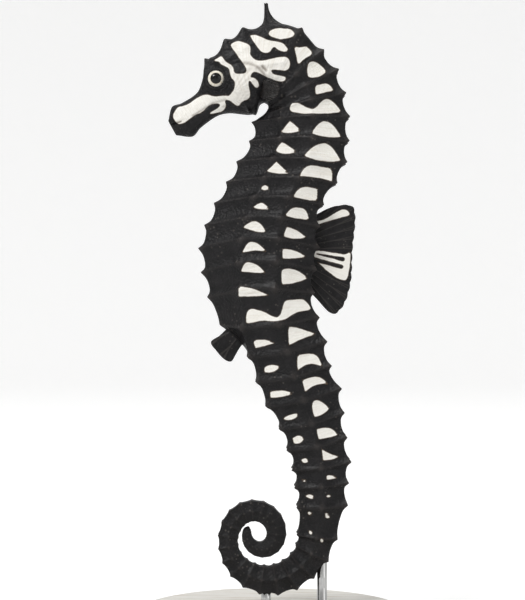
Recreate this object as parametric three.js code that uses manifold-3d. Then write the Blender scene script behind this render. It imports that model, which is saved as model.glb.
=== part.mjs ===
// A life-size model of an adult female seahorse, swimming upright with its tail curled
// forward, held over a flat round base by two short rods.
// Millimetres, +Z up. X runs from the belly side (-X, where the snout points) to the back
// (+X), Y is the animal's right, and the origin is the centre of the base's underside.
//
// The body is one long form. Its ring coordinate u is -12 at the mouth, 1 to 11 at the
// eleven trunk rings and 12 upwards at the tail rings. Each section lies in a plane that
// holds the Y direction and runs from a dorsal point to a ventral point.
import * as THREE from "three";
import { mergeVertices } from "three/addons/utils/BufferGeometryUtils.js";
import Module from "manifold-3d";

const wasm = await Module();
wasm.setup();

// ---------------------------------------------------------------- driving dimensions

const GAP = 0.3; // clearance between neighbouring solids
const HALF_GAP = GAP / 2;
const DEG = Math.PI / 180;

const MOUTH = -12; // ring coordinate of the snout's end
const CURL_START = 20; // ring coordinate where the tail begins to curl
const CURL_RINGS = 30; // rings from there to the tip
const TAIL_TIP = CURL_START + CURL_RINGS;

// Outline of the head, trunk and straight tail: u, dorsal point, ventral point, half width.
const OUTLINE = [
  { u: -12, dorsal: [-25.9, 128.2], ventral: [-23.8, 124.4], half: 1.0 }, // mouth
  { u: -11.3, dorsal: [-25.0, 131.5], ventral: [-19.9, 124.1], half: 2.5 }, // lips
  { u: -10.6, dorsal: [-22.7, 132.4], ventral: [-17.9, 126.2], half: 2.4 },
  { u: -9, dorsal: [-18.7, 135.1], ventral: [-13.7, 129.2], half: 2.4 }, // snout
  { u: -8, dorsal: [-17.4, 138.3], ventral: [-10.8, 129.9], half: 3.2 },
  { u: -7, dorsal: [-16.7, 141.6], ventral: [-8.2, 129.7], half: 3.9 }, // eye
  { u: -6, dorsal: [-13.9, 144.2], ventral: [-6.2, 129.5], half: 4.3 },
  { u: -5, dorsal: [-9.9, 147.8], ventral: [-4.9, 129.6], half: 4.7 }, // brow
  { u: -4, dorsal: [-4.9, 150.5], ventral: [-3.9, 129.6], half: 4.9 }, // crown
  { u: -3, dorsal: [1.2, 152.2], ventral: [-3.0, 131.9], half: 4.8 },
  { u: -2, dorsal: [7.3, 150.5], ventral: [-1.5, 132.5], half: 4.6 }, // nape and throat
  { u: -1, dorsal: [12.3, 144.8], ventral: [-1.0, 131.8], half: 4.5 },
  { u: 0, dorsal: [15.7, 140.0], ventral: [-1.1, 130.9], half: 4.6 },
  { u: 1, dorsal: [17.4, 134.4], ventral: [-2.2, 129.5], half: 4.8 }, // first trunk ring
  { u: 2, dorsal: [18.4, 128.7], ventral: [-4.2, 127.8], half: 5.2 },
  { u: 3, dorsal: [18.2, 122.7], ventral: [-4.7, 123.0], half: 5.6 }, // chest
  { u: 4, dorsal: [17.6, 117.4], ventral: [-7.8, 117.9], half: 6.0 },
  { u: 5, dorsal: [15.1, 112.2], ventral: [-10.4, 112.8], half: 6.3 },
  { u: 6, dorsal: [11.8, 106.8], ventral: [-13.4, 107.5], half: 6.6 },
  { u: 7, dorsal: [10.9, 101.4], ventral: [-15.8, 102.0], half: 6.8 }, // dorsal fin's root
  { u: 8, dorsal: [10.8, 96.2], ventral: [-17.3, 96.2], half: 7.0 }, // belly
  { u: 10, dorsal: [9.6, 85.0], ventral: [-15.3, 84.0], half: 6.8 },
  { u: 11, dorsal: [10.8, 78.8], ventral: [-12.5, 77.0], half: 6.4 }, // last trunk ring
  { u: 12, dorsal: [12.7, 72.8], ventral: [-6.2, 70.5], half: 5.9 }, // first tail ring
  { u: 13, dorsal: [13.8, 66.8], ventral: [-3.6, 64.3], half: 5.7 },
  { u: 14, dorsal: [16.3, 61.1], ventral: [-1.2, 58.2], half: 5.5 },
  { u: 15, dorsal: [17.0, 55.1], ventral: [2.3, 52.5], half: 5.3 },
  { u: 16, dorsal: [17.7, 49.0], ventral: [4.4, 47.1], half: 5.1 },
  { u: 17, dorsal: [18.7, 43.0], ventral: [5.9, 41.9], half: 4.9 },
  { u: 18, dorsal: [18.1, 37.8], ventral: [6.6, 37.3], half: 4.8 },
  { u: 19, dorsal: [17.9, 32.3], ventral: [7.2, 32.4], half: 4.6 },
];

// The curl, from CURL_START to the tip.
const CURL = {
  start: [11.2, 24.4], // centre of the section at CURL_START
  length: 67,
  firstRing: 4.4, // ring spacing at the start
  lastRing: 0.85, // ring spacing at the tip
  tipRound: 0.018, // share of the curl over which the tip rounds off
  flatness: 0.86, // half width over half depth
};
// Its course: share of the length, then heading in degrees and half depth. A heading of 90
// points down and 180 towards the belly side.
const CURL_COURSE = [
  [0, [97, 4.3]],
  [0.1, [127.5, 3.65]],
  [0.2, [157.5, 3.35]],
  [0.32, [200, 2.9]],
  [0.45, [250, 2.25]],
  [0.58, [308, 2.4]],
  [0.7, [385, 2.4]],
  [0.82, [472, 2.3]],
  [0.92, [576, 1.65]],
  [1, [657, 0.95]],
];

// Half sections by their ridges. Each ridge is [share of the depth from the back, share
// of the half width]. round 1 is a smooth oval and 0 a polygon with flat faces.
const SNOUT = { superior: [0.13, 0.68], lateral: [0.5, 1], inferior: [0.87, 0.68], round: 1 };
const CHEEK = { superior: [0.06, 0.56], lateral: [0.52, 1], inferior: [0.9, 0.6], round: 0.9 };
const NAPE = { superior: [0.02, 0.5], lateral: [0.45, 1], inferior: [0.86, 0.72], round: 0.6 };
const TRUNK = { superior: [0.0, 0.5], lateral: [0.36, 1], inferior: [0.7, 0.76], round: 0.3 };
const TAIL = { superior: [0.0, 0.7], lateral: [0.5, 0.98], inferior: [1.0, 0.62], round: 0.2 };
const SECTIONS = [
  { u: -12, shape: SNOUT },
  { u: -8.6, shape: SNOUT },
  { u: -7, shape: CHEEK },
  { u: -3, shape: CHEEK },
  { u: -1, shape: NAPE },
  { u: 3, shape: TRUNK },
  { u: 10.5, shape: TRUNK },
  { u: 12.2, shape: TAIL },
  { u: TAIL_TIP, shape: TAIL },
];

// Height of the spines where a ring crosses each ridge, as [ring coordinate, height].
const SPINES = {
  superior: [[-3, 0.5], [-2, 1.7], [0, 1.9], [2, 1.5], [18, 1.4], [22, 0.9], [27, 0.6], [35, 0.25], [50, 0]],
  lateral: [[-3, 0], [0, 0.6], [2, 1.0], [10, 1.0], [12, 0.5], [14, 0.1], [50, 0]],
  inferior: [[-3, 0], [4, 0.8], [10, 0.8], [12.5, 1.4], [18, 1.3], [22, 0.8], [27, 0.5], [35, 0.2], [50, 0]],
  keel: [[-3, 0], [1, 0], [2, 1.1], [9, 1.2], [10.5, 0.8], [12, 0], [50, 0]],
};
// Depth of the hollows between rings.
const HOLLOWS = [[-3, 0], [-1, 0.4], [2, 0.6], [19, 0.6], [26, 0.35], [35, 0.2], [48, 0.05], [50, 0]];
const RIDGE_SHARE = 0.3; // how far a ridge fills the hollow it runs through
const RING_SHARPNESS = 0.19; // half width of a ring's crest, in rings
const RIDGE_SHARPNESS = 0.24; // half width of a ridge, in ridge spacings

// Spines of the head: ring coordinate, ridge coordinate (0 back, 1 superior, 3 inferior), height.
const HEAD_SPINES = [
  { name: "nose", u: -6.7, v: 0, height: 1.5 },
  { name: "brow", u: -6.4, v: 1, height: 1.2 },
  { name: "front_crown", u: -5.33, v: 0.5, height: 1.9 },
  { name: "rear_crown", u: -4.42, v: 0.5, height: 1.9 },
  { name: "cheek", u: -5.5, v: 3, height: 0.7 },
];
const HEAD_SPINE_SIZE = [0.26, 0.4]; // half width in ring and ridge coordinates

// Domes on the side of the head: centre in the side view, radius and height.
const ORBIT = { x: -13.9, z: 138.1, radius: 3.6, height: 1.1 };
const GILL_COVER = { x: -7.0, z: 136.0, radius: 6.2, height: 1.2 };

const EYE_RADIUS = 2.35;
const EYE_SIDE = 2.85; // distance of the eye's centre from the middle plane

// The turret of skin round the eye: its lid's radius and height, and the fall of its wall.
const LID = { radius: 2.15, side: 4.1, fall: 2.0, reach: 2.2 };

// The coronet: a narrow top over a front flank that drops steeply and a back that slopes.
const CORONET = {
  foot: 150.4,
  top: 157.5,
  front: { x: -2.0, flare: 3.0, from: 150.8, decay: 1.1, reach: 2.6 },
  back: { x: -1.3, flare: 3.9, from: 152.3, decay: 1.8, reach: 4.4 },
  slim: 0.55, // half width over half length
  flutes: 5,
};

const FIN_THICKNESS = 0.6;

const BASE = { radius: 34, height: 6, chamfer: 1 };
const ROD_RADIUS = 1.25;
const ROD_X = { front: -1.5, rear: 12.5 };

// ---------------------------------------------------------------- curves

/** Cubic curve through values at uneven stations; rows are [u, number or array]. */
function throughStations(rows, u) {
  const last = rows.length - 1;
  if (u <= rows[0][0]) return rows[0][1];
  if (u >= rows[last][0]) return rows[last][1];
  const i = rows.findIndex((row) => row[0] > u) - 1;
  const slope = (j, k) => {
    const a = rows[Math.max(j - 1, 0)];
    const b = rows[Math.min(j + 1, last)];
    return (b[1][k] - a[1][k]) / (b[0] - a[0]);
  };
  const [ua, a] = rows[i];
  const [ub, b] = rows[i + 1];
  const span = ub - ua;
  const t = (u - ua) / span;
  const t2 = t * t;
  const t3 = t2 * t;
  return a.map(
    (value, k) =>
      (2 * t3 - 3 * t2 + 1) * value +
      (t3 - 2 * t2 + t) * span * slope(i, k) +
      (3 * t2 - 2 * t3) * b[k] +
      (t3 - t2) * span * slope(i + 1, k),
  );
}

/** Straight-line value at u in a table of [u, value] pairs. */
function alongTable(table, u) {
  const i = table.findIndex((row) => row[0] > u);
  if (i === 0) return table[0][1];
  if (i < 0) return table[table.length - 1][1];
  const [ua, a] = table[i - 1];
  const [ub, b] = table[i];
  return a + ((b - a) * (u - ua)) / (ub - ua);
}

/** Share of the curl's length at ring coordinate u, with the rings closing up to the tip. */
function curlShare(u) {
  const drop = CURL.firstRing - CURL.lastRing;
  const rate = drop / CURL.length;
  return (CURL.firstRing / drop) * (1 - Math.exp(-(u - CURL_START) * rate));
}

const curlEnd = curlShare(TAIL_TIP);

/** Heading, in radians, and half depth of the tail at a share t of the curl. */
function curlCourse(t) {
  const [heading, depth] = throughStations(CURL_COURSE, t);
  return [heading * DEG, depth];
}

const CURL_STEPS = 400;
const curlPoints = [CURL.start];
for (let i = 0; i < CURL_STEPS; i += 1) {
  const [heading] = curlCourse((i + 0.5) / CURL_STEPS);
  const [x, z] = curlPoints[i];
  const step = CURL.length / CURL_STEPS;
  curlPoints.push([x + Math.cos(heading) * step, z - Math.sin(heading) * step]);
}

/** Dorsal point, ventral point and half width of a section in the curl. */
function curlSection(u) {
  const t = Math.min(curlShare(u) / curlEnd, 1);
  const place = t * CURL_STEPS;
  const i = Math.min(Math.floor(place), CURL_STEPS - 1);
  const part = place - i;
  const x = curlPoints[i][0] * (1 - part) + curlPoints[i + 1][0] * part;
  const z = curlPoints[i][1] * (1 - part) + curlPoints[i + 1][1] * part;
  const [heading, plain] = curlCourse(t);
  const rounding = Math.max(1 - (1 - t) / CURL.tipRound, 0) * 0.93;
  const depth = plain * Math.sqrt(1 - rounding ** 2);
  const out = [Math.sin(heading) * depth, Math.cos(heading) * depth];
  return [x + out[0], z + out[1], x - out[0], z - out[1], depth * CURL.flatness];
}

const outlineRows = OUTLINE.map((s) => [s.u, [...s.dorsal, ...s.ventral, s.half]]);
for (let u = CURL_START; u <= CURL_START + 1; u += 1) outlineRows.push([u, curlSection(u)]);

/** The plane, depth and half width of the section at u. */
function sectionPlane(u) {
  const values = u >= CURL_START ? curlSection(u) : throughStations(outlineRows, u);
  const [dx, dz, vx, vz, half] = values;
  const depth = Math.hypot(vx - dx, vz - dz);
  const down = [(vx - dx) / depth, (vz - dz) / depth]; // from back to belly
  return { dorsal: [dx, dz], down, depth, half, onward: [-down[1], down[0]] };
}

// ---------------------------------------------------------------- sections and relief

const RIDGES = ["back", "superior", "lateral", "inferior", "keel"];
const shapeRows = SECTIONS.map(({ u, shape }) => [
  u,
  [...shape.superior, ...shape.lateral, ...shape.inferior, shape.round],
]);

/** Corner k of the half section, counted on round the other half for k outside 0 to 4. */
function corner(values, k) {
  const folded = Math.abs(((k + 4) % 8) - 4);
  const side = k < 0 || k > 4 ? -1 : 1;
  if (folded === 0) return [0, 0];
  if (folded === 4) return [1, 0];
  return [values[2 * folded - 2], side * values[2 * folded - 1]];
}

/** Point of the half section at ridge coordinate v (0 back, 4 belly): [depth share, width share]. */
function halfSection(u, v) {
  const values = throughStations(shapeRows, u);
  const round = values[6];
  const i = Math.min(Math.floor(v), 3);
  const t = v - i;
  const [p0, p1, p2, p3] = [-1, 0, 1, 2].map((step) => corner(values, i + step));
  return [0, 1].map((axis) => {
    const flat = p1[axis] + (p2[axis] - p1[axis]) * t;
    const bend =
      0.5 *
      (2 * p1[axis] +
        (p2[axis] - p0[axis]) * t +
        (2 * p0[axis] - 5 * p1[axis] + 4 * p2[axis] - p3[axis]) * t * t +
        (3 * p1[axis] - p0[axis] - 3 * p2[axis] + p3[axis]) * t * t * t);
    return flat + (bend - flat) * round;
  });
}

/** Direction out of the body at ridge coordinate v: [towards the belly, sideways]. */
function outwards(v) {
  const angle = (v / 4) * Math.PI;
  return [-Math.cos(angle), Math.sin(angle)];
}

/** Sharp peak that is 1 at distance 0 and falls off over the given width. */
function peak(distance, width) {
  return Math.exp(-((Math.abs(distance) / width) ** 1.4));
}

/** Height of rings, ridges and spines over the plain section at (u, v). */
function relief(u, v) {
  const crest = u > -2.6 ? peak(Math.abs(u - Math.round(u)), RING_SHARPNESS) : 0;
  let ridge = 0;
  let height = 0;
  RIDGES.forEach((name, k) => {
    if (!SPINES[name]) return;
    const line = peak(v - k, RIDGE_SHARPNESS);
    ridge = Math.max(ridge, line);
    height += alongTable(SPINES[name], u) * crest * line;
  });
  height -= alongTable(HOLLOWS, u) * (1 - crest) * (1 - RIDGE_SHARE * ridge);
  HEAD_SPINES.forEach((spine) => {
    const away = Math.hypot((u - spine.u) / HEAD_SPINE_SIZE[0], (v - spine.v) / HEAD_SPINE_SIZE[1]);
    height += spine.height * peak(away, 1);
  });
  return height;
}

/** Dome of the head at a place in the side view, as added half width. */
function dome(x, z) {
  return [ORBIT, GILL_COVER].reduce((sum, d) => {
    const r = Math.hypot(x - d.x, z - d.z) / d.radius;
    return sum + (r < 1 ? d.height * (1 - r * r) ** 1.5 : 0);
  }, 0);
}

/** Half width of the turret of skin round the eye, faded out towards the middle plane. */
function turret(x, z, sideness) {
  const past = Math.max(Math.hypot(x - ORBIT.x, z - ORBIT.z) - LID.radius, 0) / LID.reach;
  return (LID.side - LID.fall * past ** 1.3) * Math.min(sideness / 0.45, 1);
}

/** Point of the skin at (u, v) on one side, moved out by offset and on by shift. */
function skinPoint(u, v, side, offset, shift) {
  const plane = sectionPlane(u);
  const [depthShare, widthShare] = halfSection(u, v);
  const out = outwards(v);
  const height = relief(u, v) + offset;
  const down = depthShare * plane.depth + out[0] * height;
  const x = plane.dorsal[0] + plane.down[0] * down + plane.onward[0] * shift;
  const z = plane.dorsal[1] + plane.down[1] * down + plane.onward[1] * shift;
  const wide = widthShare * plane.half + out[1] * height;
  const sideness = Math.min(Math.max(widthShare, 0), 1);
  return [x, side * Math.max(wide + dome(x, z) * sideness, turret(x, z, sideness)), z];
}

// ---------------------------------------------------------------- solids

/** A closed manifold from vertices and triangles. */
function solid(vertices, triangles) {
  return new wasm.Manifold(
    new wasm.Mesh({
      numProp: 3,
      vertProperties: Float32Array.from(vertices.flat()),
      triVerts: Uint32Array.from(triangles.flat()),
    }),
  );
}

/** A closed manifold from a three.js geometry. */
function solidOf(geometry) {
  const bare = geometry.clone();
  bare.deleteAttribute("normal");
  bare.deleteAttribute("uv");
  const merged = mergeVertices(bare, 1e-4);
  return new wasm.Manifold(
    new wasm.Mesh({
      numProp: 3,
      vertProperties: new Float32Array(merged.attributes.position.array),
      triVerts: new Uint32Array(merged.index.array),
    }),
  );
}

/** A three.js geometry from a manifold. */
function geometryOf(manifold) {
  const mesh = manifold.getMesh();
  const geometry = new THREE.BufferGeometry();
  geometry.setAttribute("position", new THREE.BufferAttribute(mesh.vertProperties, 3));
  geometry.setIndex(new THREE.BufferAttribute(mesh.triVerts, 1));
  geometry.computeVertexNormals();
  return geometry;
}

/** Joins closed loops of points into a solid, with a fan over the first and the last loop. */
function loft(loops) {
  const count = loops[0].length;
  const middle = (loop) => [0, 1, 2].map((k) => loop.reduce((sum, p) => sum + p[k], 0) / count);
  const vertices = [...loops.flat(), middle(loops[0]), middle(loops.at(-1))];
  const [first, last] = [vertices.length - 2, vertices.length - 1];
  const triangles = [];
  for (let j = 0; j < count; j += 1) {
    const k = (j + 1) % count;
    for (let i = 0; i + 1 < loops.length; i += 1) {
      const [a, b] = [i * count, (i + 1) * count];
      triangles.push([a + j, b + j, b + k], [a + j, b + k, a + k]);
    }
    const end = (loops.length - 1) * count;
    triangles.push([first, j, k], [last, end + k, end + j]);
  }
  return solid(vertices, triangles);
}

const FINE_V = [0, 0.5, 0.8, 1, 1.25, 1.75, 2, 2.25, 2.75, 3, 3.3, 3.75, 4];
const TAIL_V = [0, 0.75, 1, 1.25, 2, 2.75, 3, 3.25, 4];

/** Loop of skin points at u: down the right side and back up the left. */
function skinLoop(u, coordinates, offset, shift) {
  const right = coordinates.map((v) => skinPoint(u, v, 1, offset, shift));
  const left = coordinates.slice(1, -1).reverse().map((v) => skinPoint(u, v, -1, offset, shift));
  return [...right, ...left];
}

/** Ring coordinates of the sections from one cut to another: crests, flanks and hollows. */
function stationsBetween(from, to) {
  const wanted = HEAD_SPINES.flatMap((spine) => [-0.3, 0, 0.3].map((step) => spine.u + step));
  for (let ring = Math.floor(from); ring <= to; ring += 1) {
    const steps = ring < -2 ? [0, 0.5] : ring < 26 ? [0, 0.2, 0.5, 0.8] : ring < 35 ? [0, 0.5] : [0];
    steps.forEach((step) => wanted.push(ring + step));
  }
  const stations = [from];
  wanted.sort((a, b) => a - b).forEach((u) => {
    if (u > stations.at(-1) + 0.14 && u < to - 0.14) stations.push(u);
  });
  return [...stations, to];
}

/** Length of the body from one cut to the next, its ends drawn in for the gap. */
function bodyLength(from, to, coordinates, offset = 0) {
  const stations = stationsBetween(from, to);
  const draw = offset > 0 ? 0 : HALF_GAP;
  const shift = (i) => (i === 0 ? draw : i === stations.length - 1 ? -draw : 0);
  return loft(stations.map((u, i) => skinLoop(u, coordinates, offset, shift(i))));
}

/** Flat fin from its outline in the side view, cut clear of the body. */
function finPlate(outline, body) {
  const shape = new THREE.Shape(outline.map(([x, z]) => new THREE.Vector2(x, z)));
  const plate = new THREE.ExtrudeGeometry(shape, { depth: FIN_THICKNESS, bevelEnabled: false });
  plate.rotateX(Math.PI / 2);
  plate.translate(0, FIN_THICKNESS / 2, 0);
  return solidOf(plate).subtract(body);
}

/** Ball of the eye on one side. */
function eyeBall(side, radius) {
  const ball = new THREE.SphereGeometry(radius, 12, 8);
  ball.rotateX(Math.PI / 2);
  ball.translate(ORBIT.x, side * EYE_SIDE, ORBIT.z);
  return solidOf(ball);
}

// ---------------------------------------------------------------- parts

const CUTS = [
  { name: "snout", from: MOUTH, to: -8.6, color: 0xd9cfb8 },
  { name: "head", from: -8.6, to: -2.5, color: 0x3a332e },
  { name: "neck", from: -2.5, to: 1.5, color: 0x35302c },
  { name: "trunk_upper", from: 1.5, to: 6.5, color: 0x35302c },
  { name: "trunk_lower", from: 6.5, to: 11.5, color: 0x35302c },
  { name: "tail_root", from: 11.5, to: 15.5, color: 0x332e2a },
  { name: "tail_shaft", from: 15.5, to: 20.5, color: 0x332e2a },
  { name: "tail_bend", from: 20.5, to: 24.5, color: 0x312c29 },
  { name: "tail_sweep", from: 24.5, to: 29.5, color: 0x312c29 },
  { name: "tail_hook", from: 29.5, to: 35.5, color: 0x2f2b28 },
  { name: "tail_coil", from: 35.5, to: 41.5, color: 0x2f2b28 },
  { name: "tail_tip", from: 41.5, to: TAIL_TIP, color: 0x2f2b28 },
];

/** Colour, gloss and name for one mesh of the model. */
function named(name, manifold, color, roughness = 0.5, metalness = 0) {
  const material = new THREE.MeshStandardMaterial({ color, roughness, metalness });
  const mesh = new THREE.Mesh(geometryOf(manifold), material);
  mesh.name = name;
  return mesh;
}

/** Outline of the fan between two rays, with the outer edge through the given points. */
function fanOutline(rootTop, rootBottom, edge) {
  const margin = new THREE.SplineCurve(edge.map(([x, z]) => new THREE.Vector2(x, z)));
  return [rootTop, ...margin.getPoints(14).map((p) => [p.x, p.y]), rootBottom];
}

/** Tall fluted spike on the crown, flared to the head. */
function coronet(head) {
  const [AROUND, UP] = [20, 9];
  const spread = (flank, z) => Math.min(flank.flare * Math.exp((flank.from - z) / flank.decay), flank.reach);
  const loops = [];
  for (let i = 0; i <= UP; i += 1) {
    const z = CORONET.foot + (CORONET.top - CORONET.foot) * (i / UP) ** 1.2;
    const front = CORONET.front.x - spread(CORONET.front, z);
    const back = CORONET.back.x + spread(CORONET.back, z);
    const [middle, half] = [(front + back) / 2, (back - front) / 2];
    loops.push(
      Array.from({ length: AROUND }, (_, j) => {
        const angle = (j / AROUND) * 2 * Math.PI;
        const flute = 1 + 0.12 * (Math.cos(CORONET.flutes * angle) - 1);
        return [middle + half * Math.cos(angle), -half * CORONET.slim * flute * Math.sin(angle), z];
      }),
    );
  }
  return largest(loft(loops).subtract(head));
}

/** The biggest piece of a solid that a cut left in several. */
function largest(manifold) {
  return manifold.decompose().reduce((a, b) => (a.volume() > b.volume() ? a : b));
}

/** Fan of the pectoral fin on one side, a curved plate that stands off the neck. */
function pectoralFin(side, neck) {
  const [RAYS, STEPS] = [10, 4];
  const [root, spread, length] = [3.2, 5.8, 4.9];
  const place = { x: -2.6, y: 4.2, z: 135.3 };
  const point = (ray, out, layer) => {
    const across = ray / RAYS - 0.5;
    const reach = length * out * (1 - 0.5 * (2 * across) ** 4);
    const away = 0.2 * reach + 0.04 * reach * reach;
    return [
      place.x + reach * 0.92,
      side * (place.y + away + layer * FIN_THICKNESS),
      place.z - across * (root + (spread - root) * out),
    ];
  };
  const loops = [];
  for (let step = 0; step <= STEPS; step += 1) {
    const loop = [];
    for (let ray = 0; ray <= RAYS; ray += 1) loop.push(point(ray, step / STEPS, 0));
    for (let ray = RAYS; ray >= 0; ray -= 1) loop.push(point(ray, step / STEPS, 1));
    loops.push(side > 0 ? loop : loop.reverse());
  }
  const fan = loft(loops);
  return largest((fan.volume() > 0 ? fan : loft(loops.reverse())).subtract(neck));
}

/** Upright rod from the base to the underside of the tail. */
function rod(x, tail) {
  const top = 24;
  const bar = new THREE.CylinderGeometry(ROD_RADIUS, ROD_RADIUS, top - BASE.height - GAP, 20);
  bar.rotateX(Math.PI / 2);
  bar.translate(x, 0, (top + BASE.height + GAP) / 2);
  const pieces = solidOf(bar).subtract(tail).decompose();
  return pieces.reduce((a, b) => (a.boundingBox().min[2] < b.boundingBox().min[2] ? a : b));
}

/** Flat round base with a chamfered upper edge. */
function base() {
  const { radius, height, chamfer } = BASE;
  const profile = [
    [0, 0],
    [radius, 0],
    [radius, height - chamfer],
    [radius - chamfer, height],
    [0, height],
  ].map(([r, z]) => new THREE.Vector2(r, z));
  const disc = new THREE.LatheGeometry(profile, 48);
  disc.rotateX(Math.PI / 2);
  return solidOf(disc);
}

const model = new THREE.Group();
const eyes = { left: -1, right: 1 };

CUTS.forEach(({ name, from, to, color }) => {
  let length = bodyLength(from, to, from < 11 ? FINE_V : TAIL_V);
  if (name === "head") {
    Object.values(eyes).forEach((side) => {
      length = length.subtract(eyeBall(side, EYE_RADIUS + GAP));
    });
  }
  model.add(named(name, length, color));
});

Object.entries(eyes).forEach(([name, side]) => {
  model.add(named(`eye_${name}`, eyeBall(side, EYE_RADIUS), 0x1c1a18, 0.15));
});

const headSpace = bodyLength(-9, -1, FINE_V, GAP);
model.add(named("coronet", coronet(headSpace), 0x35302c));

const trunkSpace = bodyLength(5.5, 14.5, FINE_V, GAP);
const dorsalFin = fanOutline(
  [9.4, 104.2],
  [8.2, 85.8],
  [
    [11.0, 104.6], [15.2, 106.6], [19.8, 106.9], [20.9, 103.8], [20.2, 96],
    [19.8, 88], [18, 82], [14.9, 79.8], [10.4, 84.5],
  ],
);
model.add(named("dorsal_fin", largest(finPlate(dorsalFin, trunkSpace)), 0x4a4038, 0.4));

const analFin = fanOutline(
  [-10.0, 77.0],
  [-5.0, 73.5],
  [[-11.6, 75.8], [-13.2, 74.3], [-15.3, 72.6], [-13.2, 69.6], [-10.4, 67.7], [-8.4, 71.0], [-6.4, 73.2]],
);
model.add(named("anal_fin", largest(finPlate(analFin, trunkSpace)), 0x4a4038, 0.4));

const neckSpace = bodyLength(-5, 3, FINE_V, GAP);
Object.entries(eyes).forEach(([name, side]) => {
  model.add(named(`pectoral_fin_${name}`, pectoralFin(side, neckSpace), 0x5a4f45, 0.4));
});

model.add(named("stand_base", base(), 0xcfcdc8, 0.5));
const tailSpace = bodyLength(CURL_START - 0.5, 33.5, TAIL_V, GAP);
Object.entries(ROD_X).forEach(([name, x]) => {
  model.add(named(`stand_rod_${name}`, rod(x, tailSpace), 0xb8bcc0, 0.3, 1));
});

export default model;
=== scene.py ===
"""Museum model of an adult female seahorse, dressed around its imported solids.

The body is one skin: a surface of two parameters, the ring coordinate u from the mouth to the
tail's tip and the ridge coordinate v from the back round to the belly. Fins, coronet, eyes and
stand are pieces of their own. Working sizes are in millimetres and every mesh is in metres.
"""

import logging
import math
from dataclasses import dataclass, field
from enum import Enum

import bpy
import numpy as np
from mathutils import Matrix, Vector


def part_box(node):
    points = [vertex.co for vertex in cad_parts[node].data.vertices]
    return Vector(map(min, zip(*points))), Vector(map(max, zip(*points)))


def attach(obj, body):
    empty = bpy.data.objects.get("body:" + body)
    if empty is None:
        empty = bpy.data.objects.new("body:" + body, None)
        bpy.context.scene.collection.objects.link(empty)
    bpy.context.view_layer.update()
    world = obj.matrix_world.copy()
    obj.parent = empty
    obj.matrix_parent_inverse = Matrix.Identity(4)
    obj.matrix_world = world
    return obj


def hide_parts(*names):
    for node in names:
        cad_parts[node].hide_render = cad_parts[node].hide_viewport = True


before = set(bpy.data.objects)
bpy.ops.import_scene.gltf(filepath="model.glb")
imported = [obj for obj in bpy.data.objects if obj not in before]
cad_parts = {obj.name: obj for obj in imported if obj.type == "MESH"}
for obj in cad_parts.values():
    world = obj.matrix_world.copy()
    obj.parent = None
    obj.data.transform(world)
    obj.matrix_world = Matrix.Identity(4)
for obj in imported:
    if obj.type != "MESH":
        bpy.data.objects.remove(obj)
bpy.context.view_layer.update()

Array = np.ndarray
Point2 = tuple[float, float]
Point3 = tuple[float, float, float]
Colour = tuple[float, float, float, float]
Rows = tuple[Point2, ...]
Socket = bpy.types.NodeSocket
Node = bpy.types.Node
NodeTree = bpy.types.NodeTree
Outputs = bpy.types.NodeOutputs
Material = bpy.types.Material
Piece = bpy.types.Object
Inputs = dict[int | str, object]

MM = 0.001
TURN = 2 * math.pi
CURL_START = 20.0
TAIL_TIP = 50.0
UNMARKED = -9.0
FLESH = (
    "snout", "head", "neck", "trunk_upper", "trunk_lower", "tail_root", "tail_shaft",
    "tail_bend", "tail_sweep", "tail_hook", "tail_coil", "tail_tip",
)

log = logging.getLogger("seahorse")


class Side(Enum):
    """The two sides of the animal, by the sign of Y."""

    LEFT = -1
    RIGHT = 1

    def name_for(self, stem: str) -> str:
        """Name of the paired piece on this side."""
        return f"{stem}_{self.name.lower()}"


def millimetres(node: str) -> tuple[Array, Array]:
    """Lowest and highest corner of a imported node, in millimetres."""
    low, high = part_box(node)
    return np.array(low) / MM, np.array(high) / MM


def new_object(name: str, data: bpy.types.ID) -> Piece:
    """Puts a new object at the scene's origin.

    Args:
        name: The object's name.
        data: Its mesh, light or camera.

    Returns:
        The object.
    """
    made = bpy.data.objects.new(name, data)
    bpy.context.scene.collection.objects.link(made)
    return made


# ---------- curves and falloffs


def along_table(rows: Rows, u: Array) -> Array:
    """Straight-line value at u in a table of (place, value) pairs, held constant past its ends."""
    return np.interp(u, [row[0] for row in rows], [row[1] for row in rows])


def through_stations(places: Array, values: Array, u: Array) -> Array:
    """Cubic curve through values at uneven stations.

    Each slope is the rise between a station's two neighbours over their distance, and each span
    is the cubic with those end values and end slopes.

    Args:
        places: Station places, shape (n,).
        values: Station values, shape (n, k).
        u: Places to read, shape (m,).

    Returns:
        Values at the places, shape (m, k).
    """
    last = len(places) - 1
    before = np.maximum(np.arange(last + 1) - 1, 0)
    after = np.minimum(np.arange(last + 1) + 1, last)
    slope = (values[after] - values[before]) / (places[after] - places[before])[:, None]
    held = np.clip(u, places[0], places[-1])
    i = np.clip(np.searchsorted(places, held, side="right") - 1, 0, last - 1)
    span = (places[i + 1] - places[i])[:, None]
    t = (held - places[i])[:, None] / span
    return (
        (2 * t**3 - 3 * t**2 + 1) * values[i]
        + (t**3 - 2 * t**2 + t) * span * slope[i]
        + (3 * t**2 - 2 * t**3) * values[i + 1]
        + (t**3 - t**2) * span * slope[i + 1]
    )


def catmull_rom(corners: list[Array], t: Array) -> Array:
    """Half of 2b + (c - a) t + (2a - 5b + 4c - d) t squared + (3b - a - 3c + d) t cubed, from b to c."""
    a, b, c, d = corners
    return 0.5 * (2 * b + (c - a) * t + (2 * a - 5 * b + 4 * c - d) * t**2 + (3 * b - a - 3 * c + d) * t**3)


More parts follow.
